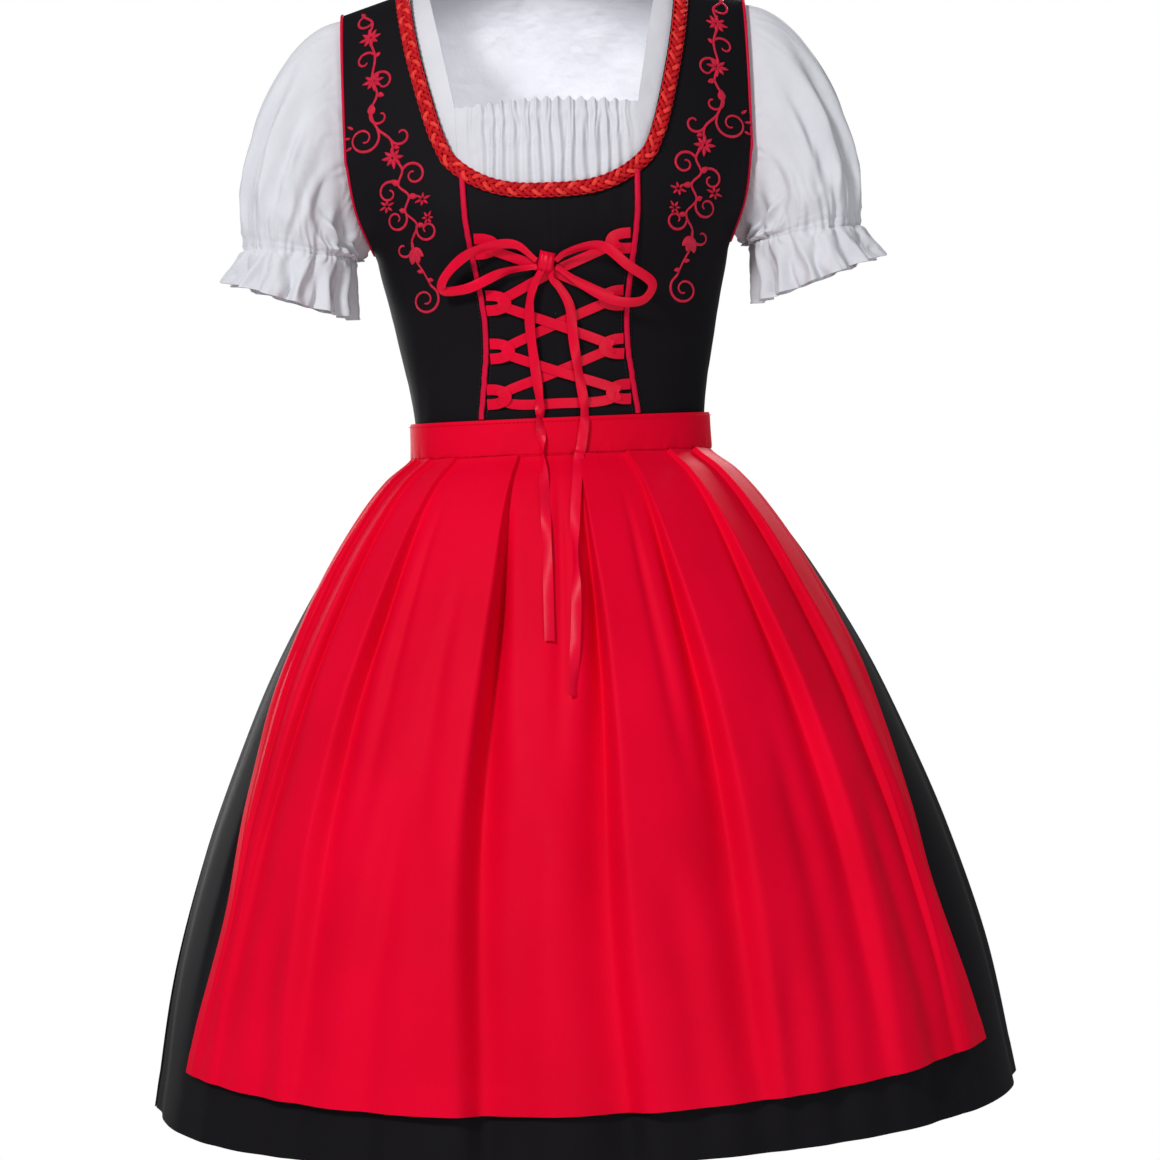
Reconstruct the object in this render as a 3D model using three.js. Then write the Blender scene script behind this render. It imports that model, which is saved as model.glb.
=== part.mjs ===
// Dirndl: laced bodice, gathered skirt, pleated apron and puff-sleeved blouse, worn shape, hollow.
// Millimetres, +Z up, the wearer faces -Y. The origin is midway between the shoulders.
import * as THREE from "three";

// Driving dimensions; heights are counted from the waist line, up is positive
const shoulderTop = 385;         // neck end of the shoulder seam
const shoulderSlope = 0.3;       // fall of the shoulder seam for each mm outwards
const neckPointX = 116;          // half distance between the neck ends of the two seams
const chestTop = 230;            // above this the body curves back over the shoulder
const waistSeam = -15;           // bodice meets skirt, under the apron band
const hemHeight = -608;
const apronHem = { centre: -567, side: -553 };
const bandHeight = 35;
const clothWall = 1.6;           // bodice, skirt and apron cloth with its turnings
const blouseWall = 1.2;
const blouseDepth = 4;           // the blouse lies this far inside the bodice's face
const seamHalfGap = 0.2;
const degree = Math.PI / 180;

// Torso sections: half width, front depth and back depth at each height
const torso = [
  { h: -15, half: 129, front: 94, back: 86 },
  { h: 25, half: 133, front: 96, back: 88 },
  { h: 61, half: 140, front: 100, back: 91 },
  { h: 97, half: 147, front: 108, back: 95 },
  { h: 133, half: 155, front: 118, back: 99 },
  { h: 151, half: 159, front: 122, back: 101 },
  { h: 187, half: 178, front: 126, back: 104 },
  { h: 230, half: 195, front: 119, back: 104 },
];

// Skirt sections, held out by its own fullness
const skirtForm = [
  { h: -15, half: 129, front: 94, back: 86 },
  { h: -36, half: 132, front: 97, back: 89 },
  { h: -56, half: 157, front: 117, back: 110 },
  { h: -83, half: 181, front: 136, back: 130 },
  { h: -137, half: 219, front: 166, back: 160 },
  { h: -218, half: 265, front: 202, back: 196 },
  { h: -299, half: 301, front: 231, back: 224 },
  { h: -380, half: 332, front: 256, back: 247 },
  { h: -488, half: 364, front: 282, back: 272 },
  { h: -608, half: 386, front: 300, back: 289 },
];

// Apron knife pleats: angle from the front centre, height of the fold and where it has softened away
const apronPleats = [
  { at: -68, high: 6, ends: -430 },
  { at: -57, high: 7, ends: -470 },
  { at: -42, high: 9, ends: -520 },
  { at: -15.5, high: 11, ends: -620 },
  { at: 6, high: 10, ends: -640 },
  { at: 24, high: 10, ends: -560 },
  { at: 43, high: 9, ends: -500 },
  { at: 58, high: 8, ends: -600 },
];

// Apron edge: angle from the front centre at each height
const apronEdge = [
  { h: -35, angle: 77 }, { h: -110, angle: 74 }, { h: -218, angle: 69.5 },
  { h: -326, angle: 64.5 }, { h: -434, angle: 61 }, { h: -567, angle: 65 },
];

// Smooth reading of a table of sections between its rows
function read(rows, h, name) {
  const up = rows[0].h < rows[rows.length - 1].h;
  const list = up ? rows : [...rows].reverse();
  const last = list.length - 1;
  if (h <= list[0].h) return list[0][name];
  if (h >= list[last].h) return list[last][name];
  let i = 0;
  while (h > list[i + 1].h) i += 1;
  const slope = (k) => {
    const a = list[Math.max(k - 1, 0)];
    const b = list[Math.min(k + 1, last)];
    return (b[name] - a[name]) / (b.h - a.h);
  };
  const span = list[i + 1].h - list[i].h;
  const t = (h - list[i].h) / span;
  const a = list[i][name];
  const b = list[i + 1][name];
  const t2 = t * t;
  const t3 = t2 * t;
  return a * (2 * t3 - 3 * t2 + 1) + b * (3 * t2 - 2 * t3)
    + span * (slope(i) * (t3 - 2 * t2 + t) + slope(i + 1) * (t3 - t2));
}

const mix = (a, b, t) => a + (b - a) * t;
const clamp01 = (t) => Math.min(1, Math.max(0, t));
const ease = (low, high, t) => {
  const q = clamp01((t - low) / (high - low));
  return q * q * (3 - 2 * q);
};
const spread = (count) => Array.from({ length: count + 1 }, (_, i) => i / count);
const vec = (x, y, z) => new THREE.Vector3(x, y, z);

// Shoulder row: the height coordinate of a row that has turned this many degrees over the shoulder
const shoulderRow = (turn) => chestTop + (shoulderTop - chestTop) * Math.sin(turn * degree);
const ridgeHeight = (x) => shoulderTop + shoulderSlope * (neckPointX - Math.abs(x));

// Body surface: ellipses up to the chest line, then quarter ellipses over the shoulder
function bodySurface(theta, h) {
  const low = Math.min(h, chestTop);
  const lift = clamp01((h - chestTop) / (shoulderTop - chestTop));
  const depth = read(torso, low, Math.cos(theta) > 0 ? "front" : "back");
  const bustAngle = (Math.abs(theta) - 34 * degree) / (17 * degree);
  const bustLevel = (low - 172) / 42;
  const bust = 7 * Math.exp(-bustAngle * bustAngle - bustLevel * bustLevel);
  const x = (read(torso, low, "half") + 0.3 * bust) * Math.sin(theta);
  const y = -(depth + bust) * Math.cos(theta) * Math.sqrt(1 - lift * lift);
  return vec(x, y, h > chestTop ? mix(chestTop, ridgeHeight(x), lift) : h);
}

// Skirt surface: smooth under the apron, deep soft folds from the side seams round the back
function skirtSurface(theta, h) {
  const turn = Math.abs(Math.atan2(Math.sin(theta), Math.cos(theta)));
  const depth = read(skirtForm, h, Math.cos(theta) > 0 ? "front" : "back");
  const fall = clamp01((waistSeam - h) / (waistSeam - hemHeight));
  const free = ease(78 * degree, 104 * degree, turn);
  const wave = Math.cos(24 * (Math.PI - turn)) + 0.25 * Math.sin(7 * theta);
  const fold = free * wave * 13 * fall;
  const x = (read(skirtForm, h, "half") + fold) * Math.sin(theta);
  return vec(x, -(depth + fold) * Math.cos(theta), h);
}

// Apron fold height: each pleat steps up on the side away from the centre, then slopes back
function apronFold(angle, h) {
  let height = 0;
  apronPleats.forEach((pleat, i) => {
    const outward = pleat.at < 0 ? -1 : 1;
    const next = apronPleats[i + outward];
    const reach = next && next.at * pleat.at > 0 ? Math.abs(next.at - pleat.at) : 16;
    const past = (angle - pleat.at) * outward;
    const soft = mix(0.5, 3.5, ease(-80, -500, h));
    const rise = ease(-soft, soft, past);
    const slope = 1 - clamp01(past / reach);
    const body = 2.2 + (pleat.high - 2.2) * ease(-35, -130, h);
    height += rise * slope * body * (1 - 0.75 * ease(-200, pleat.ends - 40, h));
  });
  return height;
}

// Surface with a numerical normal, moved out by a distance
function surfaceAt(surface, theta, h, out) {
  const step = 0.004;
  const rise = h + 1 > shoulderTop ? -1 : 1;
  const p = surface(theta, h);
  const along = surface(theta + step, h).sub(surface(theta - step, h));
  const up = surface(theta, h + rise).sub(p).multiplyScalar(rise);
  const normal = along.cross(up).normalize();
  return { p: p.addScaledVector(normal, out), normal };
}
const onBody = (theta, h, out = 0) => surfaceAt(bodySurface, theta, h, out).p;
const onSkirt = (theta, h, out = 0) => surfaceAt(skirtSurface, theta, h, out).p;
const bodyAngle = (x, h) => {
  const bustLevel = (Math.min(h, chestTop) - 172) / 42;
  const half = read(torso, Math.min(h, chestTop), "half") + 1.4 * Math.exp(-bustLevel * bustLevel);
  return Math.asin(Math.max(-1, Math.min(1, x / half)));
};
const apronLift = 2.4 + clothWall;
const onApron = (theta, h, out = 0) => (
  onSkirt(theta, h, apronLift + apronFold(theta / degree, h) + out));

// Closed solid between an outer and an inner grid of points, rows of columns
function closedShell(outer, inner, around) {
  const rows = outer.length;
  const cols = outer[0].length;
  const points = [...outer.flat(), ...inner.flat()];
  const index = [];
  const at = (r, c, layer) => layer * rows * cols + r * cols + (c % cols);
  const quad = (a, b, c, d) => index.push(a, b, c, a, c, d);
  const across = around ? cols : cols - 1;
  for (let r = 0; r < rows - 1; r += 1) {
    for (let c = 0; c < across; c += 1) {
      quad(at(r, c, 0), at(r, c + 1, 0), at(r + 1, c + 1, 0), at(r + 1, c, 0));
      quad(at(r, c, 1), at(r + 1, c, 1), at(r + 1, c + 1, 1), at(r, c + 1, 1));
    }
  }
  for (let c = 0; c < across; c += 1) {
    quad(at(0, c, 1), at(0, c + 1, 1), at(0, c + 1, 0), at(0, c, 0));
    quad(at(rows - 1, c, 0), at(rows - 1, c + 1, 0), at(rows - 1, c + 1, 1), at(rows - 1, c, 1));
  }
  if (!around) {
    for (let r = 0; r < rows - 1; r += 1) {
      quad(at(r, 0, 0), at(r + 1, 0, 0), at(r + 1, 0, 1), at(r, 0, 1));
      quad(at(r, cols - 1, 1), at(r + 1, cols - 1, 1), at(r + 1, cols - 1, 0), at(r, cols - 1, 0));
    }
  }
  return facingOut(points, index);
}

// Geometry from points and faces, turned so that its volume is positive
function facingOut(points, index) {
  let volume = 0;
  for (let i = 0; i < index.length; i += 3) {
    const [a, b, c] = [points[index[i]], points[index[i + 1]], points[index[i + 2]]];
    volume += a.dot(b.clone().cross(c));
  }
  const faces = volume > 0 ? index : [...index].reverse();
  const geometry = new THREE.BufferGeometry().setFromPoints(points);
  geometry.setIndex(faces);
  geometry.computeVertexNormals();
  return geometry;
}

// Inner points of a cloth: each outer point moved in along the grid's own normal
function innerGrid(outer, thickness, around) {
  const rows = outer.length;
  const cols = outer[0].length;
  return outer.map((row, r) => row.map((p, c) => {
    const left = around ? (c + cols - 1) % cols : Math.max(c - 1, 0);
    const right = around ? (c + 1) % cols : Math.min(c + 1, cols - 1);
    const across = row[right].clone().sub(row[left]);
    const up = outer[Math.min(r + 1, rows - 1)][c].clone().sub(outer[Math.max(r - 1, 0)][c]);
    return p.clone().addScaledVector(across.cross(up).normalize(), -thickness);
  }));
}

function cloth(outer, thickness, around = false) {
  return closedShell(outer, innerGrid(outer, thickness, around), around);
}

// Cloth that stops at the side and shoulder seams: the front keeps to -Y, the back to +Y
function seamedCloth(outer, thickness) {
  const inner = innerGrid(outer, thickness, false);
  const forward = outer[0][Math.floor(outer[0].length / 2)].y < 0 ? -1 : 1;
  [...outer.flat(), ...inner.flat()].forEach((p) => {
    p.y = forward * Math.max(forward * p.y, seamHalfGap);
  });
  return closedShell(outer, inner, false);
}

// Panel on the body: heights bottom to top, angle limits in radians at each height
function bodyPanel(heights, cols, from, to, out, thickness) {
  const outer = heights.map((h) => spread(cols).map((u) => onBody(mix(from(h), to(h), u), h, out)));
  return seamedCloth(outer, thickness);
}

// Solid carried along a path: frames hold a point, a side direction and an outward normal
function carried(frames, section) {
  const points = [];
  const index = [];
  const n = section.length;
  frames.forEach(({ p, side, normal }) => section.forEach(([s, u]) => {
    points.push(p.clone().addScaledVector(side, s).addScaledVector(normal, u));
  }));
  for (let i = 0; i < frames.length - 1; i += 1) {
    for (let j = 0; j < n; j += 1) {
      const k = (j + 1) % n;
      index.push(i * n + j, i * n + k, (i + 1) * n + k, i * n + j, (i + 1) * n + k, (i + 1) * n + j);
    }
  }
  const end = (frames.length - 1) * n;
  for (let j = 1; j < n - 1; j += 1) {
    index.push(0, j + 1, j, end, end + j, end + j + 1);
  }
  return facingOut(points, index);
}

// Frames from points with normals: the side direction lies in the cloth, across the path
function pathFrames(list) {
  return list.map(({ p, normal }, i) => {
    const before = list[Math.max(i - 1, 0)].p;
    const after = list[Math.min(i + 1, list.length - 1)].p;
    const side = normal.clone().cross(after.clone().sub(before)).normalize();
    return { p, side, normal };
  });
}

const stripSection = (width, thickness) => [
  [-width / 2, 0], [width / 2, 0], [width / 2, thickness], [-width / 2, thickness],
];

// Smooth run through a few chosen [x, height, lift] points on the front of the garment
function frontRun(route, steps) {
  const curve = new THREE.CatmullRomCurve3(route.map(([x, h, lift]) => vec(x, h, lift)), false, "centripetal");
  return pathFrames(spread(steps).map((t) => {
    const spot = curve.getPoint(t);
    return frontSpot(spot.x, spot.y, spot.z);
  }));
}

// Point on the front: body above the waist line, band below it, then the apron
function frontSpot(x, h, lift) {
  if (h > 0) return surfaceAt(bodySurface, bodyAngle(x, h), h, lift);
  const theta = Math.asin(x / read(skirtForm, h, "half"));
  const spot = surfaceAt(skirtSurface, theta, h, 0);
  const fold = h < -bandHeight ? apronFold(theta / degree, h) : 0;
  spot.p.addScaledVector(spot.normal, apronLift + fold + lift);
  return spot;
}

const group = new THREE.Group();
const garment = new THREE.Group();
garment.position.z = -shoulderTop;
group.add(garment);

const finishes = {
  black: { color: 0x1a1c21, roughness: 0.85 },
  red: { color: 0xd80a30, roughness: 0.6 },
  piping: { color: 0xc01e4a, roughness: 0.6 },
  white: { color: 0xf1f0f6, roughness: 0.85 },
  metal: { color: 0x17181a, roughness: 0.4 },
};

function add(name, geometry, finish) {
  const metalness = finish === "metal" ? 0.6 : 0;
  const mesh = new THREE.Mesh(geometry, new THREE.MeshStandardMaterial({ ...finishes[finish], metalness }));
  mesh.name = name;
  garment.add(mesh);
}

// Mirrored copy across the centre plane
function mirrored(geometry) {
  const flip = geometry.clone();
  flip.scale(-1, 1, 1);
  const index = [...flip.getIndex().array].reverse();
  flip.setIndex(index);
  return flip;
}

function addPair(name, geometry, finish) {
  add(`${name}_right`, geometry, finish);
  add(`${name}_left`, mirrored(geometry), finish);
}

// Bodice lines. The front seam with its piping leans out towards the neck
const frontSeam = [
  { h: -15, x: 69 }, { h: 7, x: 67 }, { h: 61, x: 61 }, { h: 97, x: 62 },
  { h: 169, x: 73 }, { h: 222, x: 75 },
];
const neckBottom = 200;
const neckMeet = 222;
const neckRows = [
  { h: 222, x: 75 }, { h: 231, x: 83 }, { h: 250, x: 91 }, { h: 287, x: 101 },
  { h: 324, x: 109 }, { h: 363, x: 115 }, { h: 385, x: 117 },
];
const neckHeight = (x) => neckBottom + (neckMeet - neckBottom) * (Math.abs(x) / 75) ** 3;
const frontInner = (h) => (h < neckMeet ? read(frontSeam, h, "x") : read(neckRows, h, "x"));

// Back neckline: a scoop 85 mm below the shoulder
const backNeck = { bottom: 300, meet: 316, x: 74 };
const backNeckRows = [
  { h: 316, x: 74 }, { h: 330, x: 88 }, { h: 350, x: 102 }, { h: 370, x: 112 }, { h: 385, x: 117 },
];
function backInner(h) {
  if (h <= backNeck.bottom) return seamHalfGap;
  if (h >= backNeck.meet) return read(backNeckRows, h, "x");
  return backNeck.x * ((h - backNeck.bottom) / (backNeck.meet - backNeck.bottom)) ** (1 / 3);
}

// Armhole edge as an angle from the front or back centre; grow widens the hole under the cloth
const underarm = 151;
const armholeTurn = 24;
function armholeAngle(h, grow = 0) {
  const q = clamp01((h - underarm + grow) / 75);
  return (89.9 - (armholeTurn + grow / 2.5) * q ** 0.6) * degree;
}
function sideAngle(h, grow = 0) {
  const depth = read(torso, Math.min(h, chestTop), "back");
  return h > underarm - grow ? armholeAngle(h, grow) : 90 * degree - seamHalfGap / depth;
}

const ridgeEnd = shoulderRow(89.8);
const upperTurns = [4, 14, 26, 38, 50, 62, 75];
const panelHeights = [
  waistSeam, 35, 80, 120, underarm, 156, 165, 180, 200, neckMeet, 231,
  ...upperTurns.map(shoulderRow), ridgeEnd,
];

function sideFront() {
  const gap = (h) => (h < neckMeet ? seamHalfGap : 0);
  const from = (h) => bodyAngle(frontInner(h) + gap(h), h);
  return bodyPanel(panelHeights, 6, from, (h) => sideAngle(h), 0, clothWall);
}

function centreFront() {
  const heights = panelHeights.filter((h) => h <= neckMeet);
  const outer = heights.map((level) => spread(4).map((u) => {
    const x = mix(seamHalfGap, frontInner(level) - seamHalfGap, u);
    const drop = (neckMeet - neckHeight(x)) * ease(underarm, neckMeet, level);
    return onBody(bodyAngle(x, level - drop), level - drop);
  }));
  return cloth(outer, clothWall);
}

function bodiceBack() {
  const heights = [
    waistSeam, 35, 80, 120, underarm, 156, 165, 180, 200, 235, 270, backNeck.bottom,
    302, 307, backNeck.meet, 330, 345, 360, shoulderRow(66), shoulderRow(76), ridgeEnd,
  ];
  const from = (h) => Math.PI - sideAngle(h);
  const to = (h) => Math.PI - bodyAngle(backInner(h), h);
  return bodyPanel(heights, 6, from, to, 0, clothWall);
}

addPair("bodice_side_front", sideFront(), "black");
addPair("bodice_centre_front", centreFront(), "black");
addPair("bodice_back", bodiceBack(), "black");

// Edge points of the neckline on the front, from the centre out to the shoulder
function neckEdge(back) {
  const turns = back ? [62, 68, 74, 80, 85, 89.6] : [0, 7, 14, 21, 28, 35, 42, 49, 56, 63, 70, 77, 84, 89.6];
  const flat = back ? [0, 12, 24, 36, 48, 58, 67] : [0, 11, 22, 33, 43, 52, 60, 68, 75];
  const bottom = back
    ? flat.map((x) => [x, backNeck.bottom + (backNeck.meet - backNeck.bottom) * (x / backNeck.x) ** 3])
    : flat.map((x) => [x, neckHeight(x)]);
  const rows = back ? backNeckRows : neckRows;
  const middle = back ? [backNeck.meet, 325, 336, 348] : [226];
  const upper = [...middle, ...turns.map(shoulderRow)].map((h) => [read(rows, h, "x"), h]);
  return [...bottom, ...upper];
}

// Neck braid: a flat rounded band sewn just inside the neckline edge
const braidWidth = 13;
const braidSection = [[0, 0], [braidWidth, 0], [braidWidth - 1.6, 2.2], [braidWidth / 2, 3], [1.6, 2.2]];
function braid(back) {
  const half = neckEdge(back);
  const full = [...half.slice(1).reverse().map(([x, h]) => [-x, h]), ...half];
  const spots = full.map(([x, h]) => {
    const angle = back ? Math.PI - bodyAngle(x, h) : bodyAngle(x, h);
    return surfaceAt(bodySurface, angle, h, 0.9);
  });
  const frames = pathFrames(spots);
  frames.forEach((frame) => {
    const side = frame.side;
    if (side.dot(vec(frame.p.x, 0, -200)) < 0) side.negate();
  });
  return carried(frames, braidSection);
}
add("neck_braid_front", braid(false), "red");
add("neck_braid_back", braid(true), "red");

// Piping over the two front seams
function frontPiping() {
  const section = [[-2.4, 0], [2.4, 0], [1.6, 1.7], [0, 2.3], [-1.6, 1.7]];
  const top = neckMeet - 20;
  const spots = spread(12).map((t) => {
    const h = mix(1, top, t);
    return surfaceAt(bodySurface, bodyAngle(frontInner(h), h), h, 1.1);
  });
  return carried(pathFrames(spots), section);
}
addPair("front_piping", frontPiping(), "piping");

// Armhole loop: half 0 to 1 runs from the underarm up to the shoulder, front or back
function armholeSpot(t, back, grow, out) {
  const lowPart = 0.4;
  const h = t < lowPart
    ? underarm - grow + (chestTop - underarm + grow) * (t / lowPart) ** 1.4
    : shoulderRow(mix(0, 90, (t - lowPart) / (1 - lowPart)));
  const angle = armholeAngle(h, grow);
  return surfaceAt(bodySurface, back ? Math.PI - angle : angle, Math.min(h, shoulderTop - 0.01), out);
}

// Armhole piping: a thin cord just outside the cloth's edge
function armholePiping(back) {
  const ends = back ? [0.996, 0.004] : [0.004, 0.996];
  const spots = spread(14).map((t) => armholeSpot(mix(ends[0], ends[1], t), back, -3, -0.3));
  const radius = 1.2;
  const section = spread(5).slice(0, 5).map((t) => [
    radius * Math.cos(t * 2 * Math.PI), radius * Math.sin(t * 2 * Math.PI),
  ]);
  return carried(pathFrames(spots), section);
}
addPair("armhole_piping_front", armholePiping(false), "piping");
addPair("armhole_piping_back", armholePiping(true), "piping");

// Skirt: a front and a back panel, joined at the side seams
const skirtHeights = [waistSeam - 0.4, -36, -56, -83, -137, -218, -299, -380, -488, hemHeight];
function skirtPanel(from, to, cols) {
  const heights = [...skirtHeights].reverse();
  const outer = heights.map((h) => {
    const gap = seamHalfGap / read(skirtForm, h, "front");
    return spread(cols).map((u) => onSkirt(mix(from + gap, to - gap, u), h));
  });
  return seamedCloth(outer, clothWall);
}
add("skirt_front", skirtPanel(-Math.PI / 2, Math.PI / 2, 20), "black");
add("skirt_back", skirtPanel(Math.PI / 2, 3 * Math.PI / 2, 48), "black");

// Apron panel: columns gather at each pleat's edge so that the fold keeps a crisp step
function apronColumns(h) {
  const edge = read(apronEdge, h, "angle");
  const scale = edge / apronEdge[0].angle;
  const soft = mix(0.6, 3.6, ease(-80, -500, h));
  const inner = apronPleats.flatMap(({ at }, i) => {
    const outward = at < 0 ? -1 : 1;
    const next = apronPleats[i + outward];
    const reach = next && next.at * at > 0 ? Math.abs(next.at - at) : 12;
    const stops = [-soft, 0, soft, mix(soft, reach - soft, 0.5)].map((s) => at + outward * s);
    return stops;
  });
  return [-edge / scale, edge / scale, -5, ...inner].sort((a, b) => a - b);
}

function apron() {
  const drops = spread(11).map((t) => 1 - t).map((t) => t ** 1.25);
  const outer = drops.map((t) => {
    const nominal = mix(-bandHeight - 0.4, apronHem.centre, t);
    return apronColumns(nominal).map((column) => {
      const across = column / apronEdge[0].angle;
      const hem = mix(apronHem.centre, apronHem.side, across * across);
      const h = mix(-bandHeight - 0.4, hem, t);
      const angle = apronSpread(column, h);
      return onApron(angle * degree, h);
    });
  });
  return cloth(outer, clothWall);
}

// The outermost part of the apron is drawn in to its edge line
function apronSpread(column, h) {
  const last = 68;
  const edge = read(apronEdge, h, "angle");
  const size = Math.abs(column);
  const start = Math.min(last, edge - 5);
  if (size <= 58) return Math.sign(column) * Math.min(size, edge - 6 - (58 - size) * 0.02);
  const t = (size - 58) / (apronEdge[0].angle - 58);
  return Math.sign(column) * mix(Math.min(58, edge - 6), Math.max(edge, start), t);
}
add("apron_panel", apron(), "red");

// Apron band and ties round the waist
const bandOut = apronLift;
function waistStrip(from, to, cols, top, bottom) {
  const outer = [bottom, top].map((h) => spread(cols).map((u) => {
    const theta = mix(from, to, u) * degree;
    const surface = h > waistSeam ? bodySurface : skirtSurface;
    return surfaceAt(surface, theta, h, bandOut).p;
  }));
  return cloth(outer, clothWall);
}
add("apron_waistband", waistStrip(-96, 96, 24, 0, -bandHeight), "red");
add("apron_tie_right", waistStrip(96.4, 177.6, 10, -2, -bandHeight + 1), "red");
add("apron_tie_left", waistStrip(-177.6, -96.4, 10, -2, -bandHeight + 1), "red");

// Apron ties: knot, two loops and two hanging ends at the centre back
function backSpot(x, h, lift) {
  const surface = h > waistSeam ? bodySurface : skirtSurface;
  const half = read(h > waistSeam ? torso : skirtForm, h, "half") + bandOut;
  return surfaceAt(surface, Math.PI - Math.asin(x / half), h, bandOut + lift);
}
function backRun(route, steps) {
  const curve = new THREE.CatmullRomCurve3(route.map(([x, h, lift]) => vec(x, h, lift)), false, "centripetal");
  return pathFrames(spread(steps).map((t) => {
    const spot = curve.getPoint(t);
    return backSpot(spot.x, spot.y, spot.z);
  }));
}
const tieWidth = 30;
const tieTailBack = [[18, -45, 4], [28, -68, 6], [44, -150, 16], [52, -260, 20], [58, -400, 22]];
const tieLoopBack = [[17.2, -3, 4], [45, 1, 14], [80, -9, 20], [98, -29, 15], [80, -43, 9], [46, -28, 7.5], [17.2, -24, 5]];
const tieKnotBack = [[0, -41.5, 3], [0, -29, 9], [0, -17, 10], [0, -5, 8], [0, 1, 3]];
addPair("apron_tie_loop", carried(backRun(tieLoopBack, 13), stripSection(20, 1.4)), "red");
addPair("apron_tie_end", carried(backRun(tieTailBack, 14), stripSection(tieWidth, 1.4)), "red");
add("apron_tie_knot", carried(backRun(tieKnotBack, 8), stripSection(30, 5)), "red");

// Lacing loops sewn beside the front piping, four on each side
const lacingRows = [149, 101, 59.5, 20];
function lacingLoop(h) {
  const x = frontInner(h);
  const route = [
    [x - 3.4, h + 6.5, 1], [x - 12, h + 6, 2.4], [x - 19, h + 3.5, 3.6],
    [x - 21, h, 3.8], [x - 19, h - 3.5, 3.6], [x - 12, h - 6, 2.4], [x - 3.4, h - 6.5, 1],
  ];
  return carried(frontRun(route, 7), stripSection(5, 1));
}
lacingRows.forEach((h, i) => addPair(`lacing_loop_${i + 1}`, lacingLoop(h), "red"));

// Lacing ribbon: a cross between each two rows and a bar along the lowest
const ribbonWidth = 8;
const ribbonWall = 1;
function lacingCross(row, lift) {
  const high = lacingRows[row];
  const low = lacingRows[row + 1];
  const route = [
    [-(frontInner(high) - 25), high - 5, lift], [0, (high + low) / 2, lift],
    [frontInner(low) - 25, low + 5, lift],
  ];
  return carried(frontRun(route, 8), stripSection(ribbonWidth, ribbonWall));
}
[0, 1, 2].forEach((row) => {
  add(`lacing_under_${row + 1}`, mirrored(lacingCross(row, 1)), "red");
  add(`lacing_over_${row + 1}`, lacingCross(row, 2.6), "red");
});
const barReach = frontInner(lacingRows[3]) - 26;
const barRoute = [[-barReach, lacingRows[3] - 7, 1], [0, lacingRows[3] - 8, 1], [barReach, lacingRows[3] - 7, 1]];
add("lacing_bar", carried(frontRun(barRoute, 8), stripSection(ribbonWidth, ribbonWall)), "red");

// Lacing bow: knot, two loops and two ends that fall over the apron
const bowRight = [
  [4, 137, 5.5], [10, 141, 7], [40, 146, 13], [59, 131, 16], [79, 115, 14],
  [72, 101, 12], [52, 100, 11], [26, 113, 8], [4, 129, 5.5],
];
const bowLeft = [
  [-16, 138, 5.5], [-32, 150, 9], [-68, 146, 13], [-88, 128, 14], [-91, 117, 12],
  [-74, 117, 9], [-41, 129, 7], [-16, 131, 5.5],
];
const tailLeft = [
  [-14, 121, 5.2], [-20, 107, 5.2], [-22, 85, 5], [-19.5, 49, 5], [-16.5, 16, 5], [-16.5, 2, 4.6],
  [-16, -36, 3], [-15, -100, 3], [-16, -190, 3],
];
const tailRight = [
  [-2, 120.5, 5.2], [4, 113, 5.2], [12, 97, 5], [14, 70, 5], [18, 34, 5], [21, 11, 5], [21, 1, 4.6],
  [15, -38, 4.4], [9, -93, 3.4], [7, -165, 3], [1, -235, 3],
];
const bowStrip = stripSection(7, ribbonWall);
add("bow_loop_right", carried(frontRun(bowRight, 15), bowStrip), "red");
add("bow_loop_left", carried(frontRun(bowLeft, 14), bowStrip), "red");
add("bow_tail_left", carried(frontRun(tailLeft, 15), bowStrip), "red");
add("bow_tail_right", carried(frontRun(tailRight, 17), bowStrip), "red");
const bowKnot = [[-6, 124, 4.6], [-6, 127.5, 8], [-6, 134, 9.4], [-6, 140, 8], [-6, 143, 4.6]];
add("bow_knot", carried(frontRun(bowKnot, 6), stripSection(17, 2.6)), "red");

// Blouse: gathered centre front, side fronts with shoulder straps, back, two sleeves
const blouseHem = 90;
const ruffleTop = 267;
const ruffleHalf = 80;
const blouseGathers = 16;
const blouseInner = (h) => (h < ruffleTop ? ruffleHalf : mix(ruffleHalf, 103, (h - ruffleTop) / (shoulderTop - ruffleTop)));
const blouseRows = [
  blouseHem, 141, 148, 154, 163, 180, 205, 232, 250, ruffleTop,
  ...[26, 40, 56, 72].map(shoulderRow), ridgeEnd,
];
function blouseSideAngle(h) {
  return h > underarm - 9 ? armholeAngle(h, 9) : 90 * degree - seamHalfGap / 90;
}
function blouseSide() {
  const from = (h) => bodyAngle(blouseInner(h) + seamHalfGap, h);
  return bodyPanel(blouseRows, 5, from, blouseSideAngle, -blouseDepth, blouseWall);
}
addPair("blouse_side_front", blouseSide(), "white");

function blouseCentre() {
  const perGather = 3;
  const heights = [blouseHem, 160, 210, 238, 256, ruffleTop];
  const cols = blouseGathers * perGather;
  const outer = heights.map((h) => spread(cols).map((u) => {
    const x = mix(-ruffleHalf + 0.4, ruffleHalf - 0.4, u);
    const pinch = 1 - 0.6 * Math.exp(-(((h - 256) / 5) ** 2));
    const deep = 2.6 * ease(150, 215, h) * pinch * Math.min(1, 6 * u, 6 - 6 * u);
    const wave = 0.5 - 0.5 * Math.cos(u * blouseGathers * 2 * Math.PI);
    return onBody(bodyAngle(x, h), h, -blouseDepth - deep * wave);
  }));
  return cloth(outer, blouseWall);
}
add("blouse_centre_front", blouseCentre(), "white");

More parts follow.
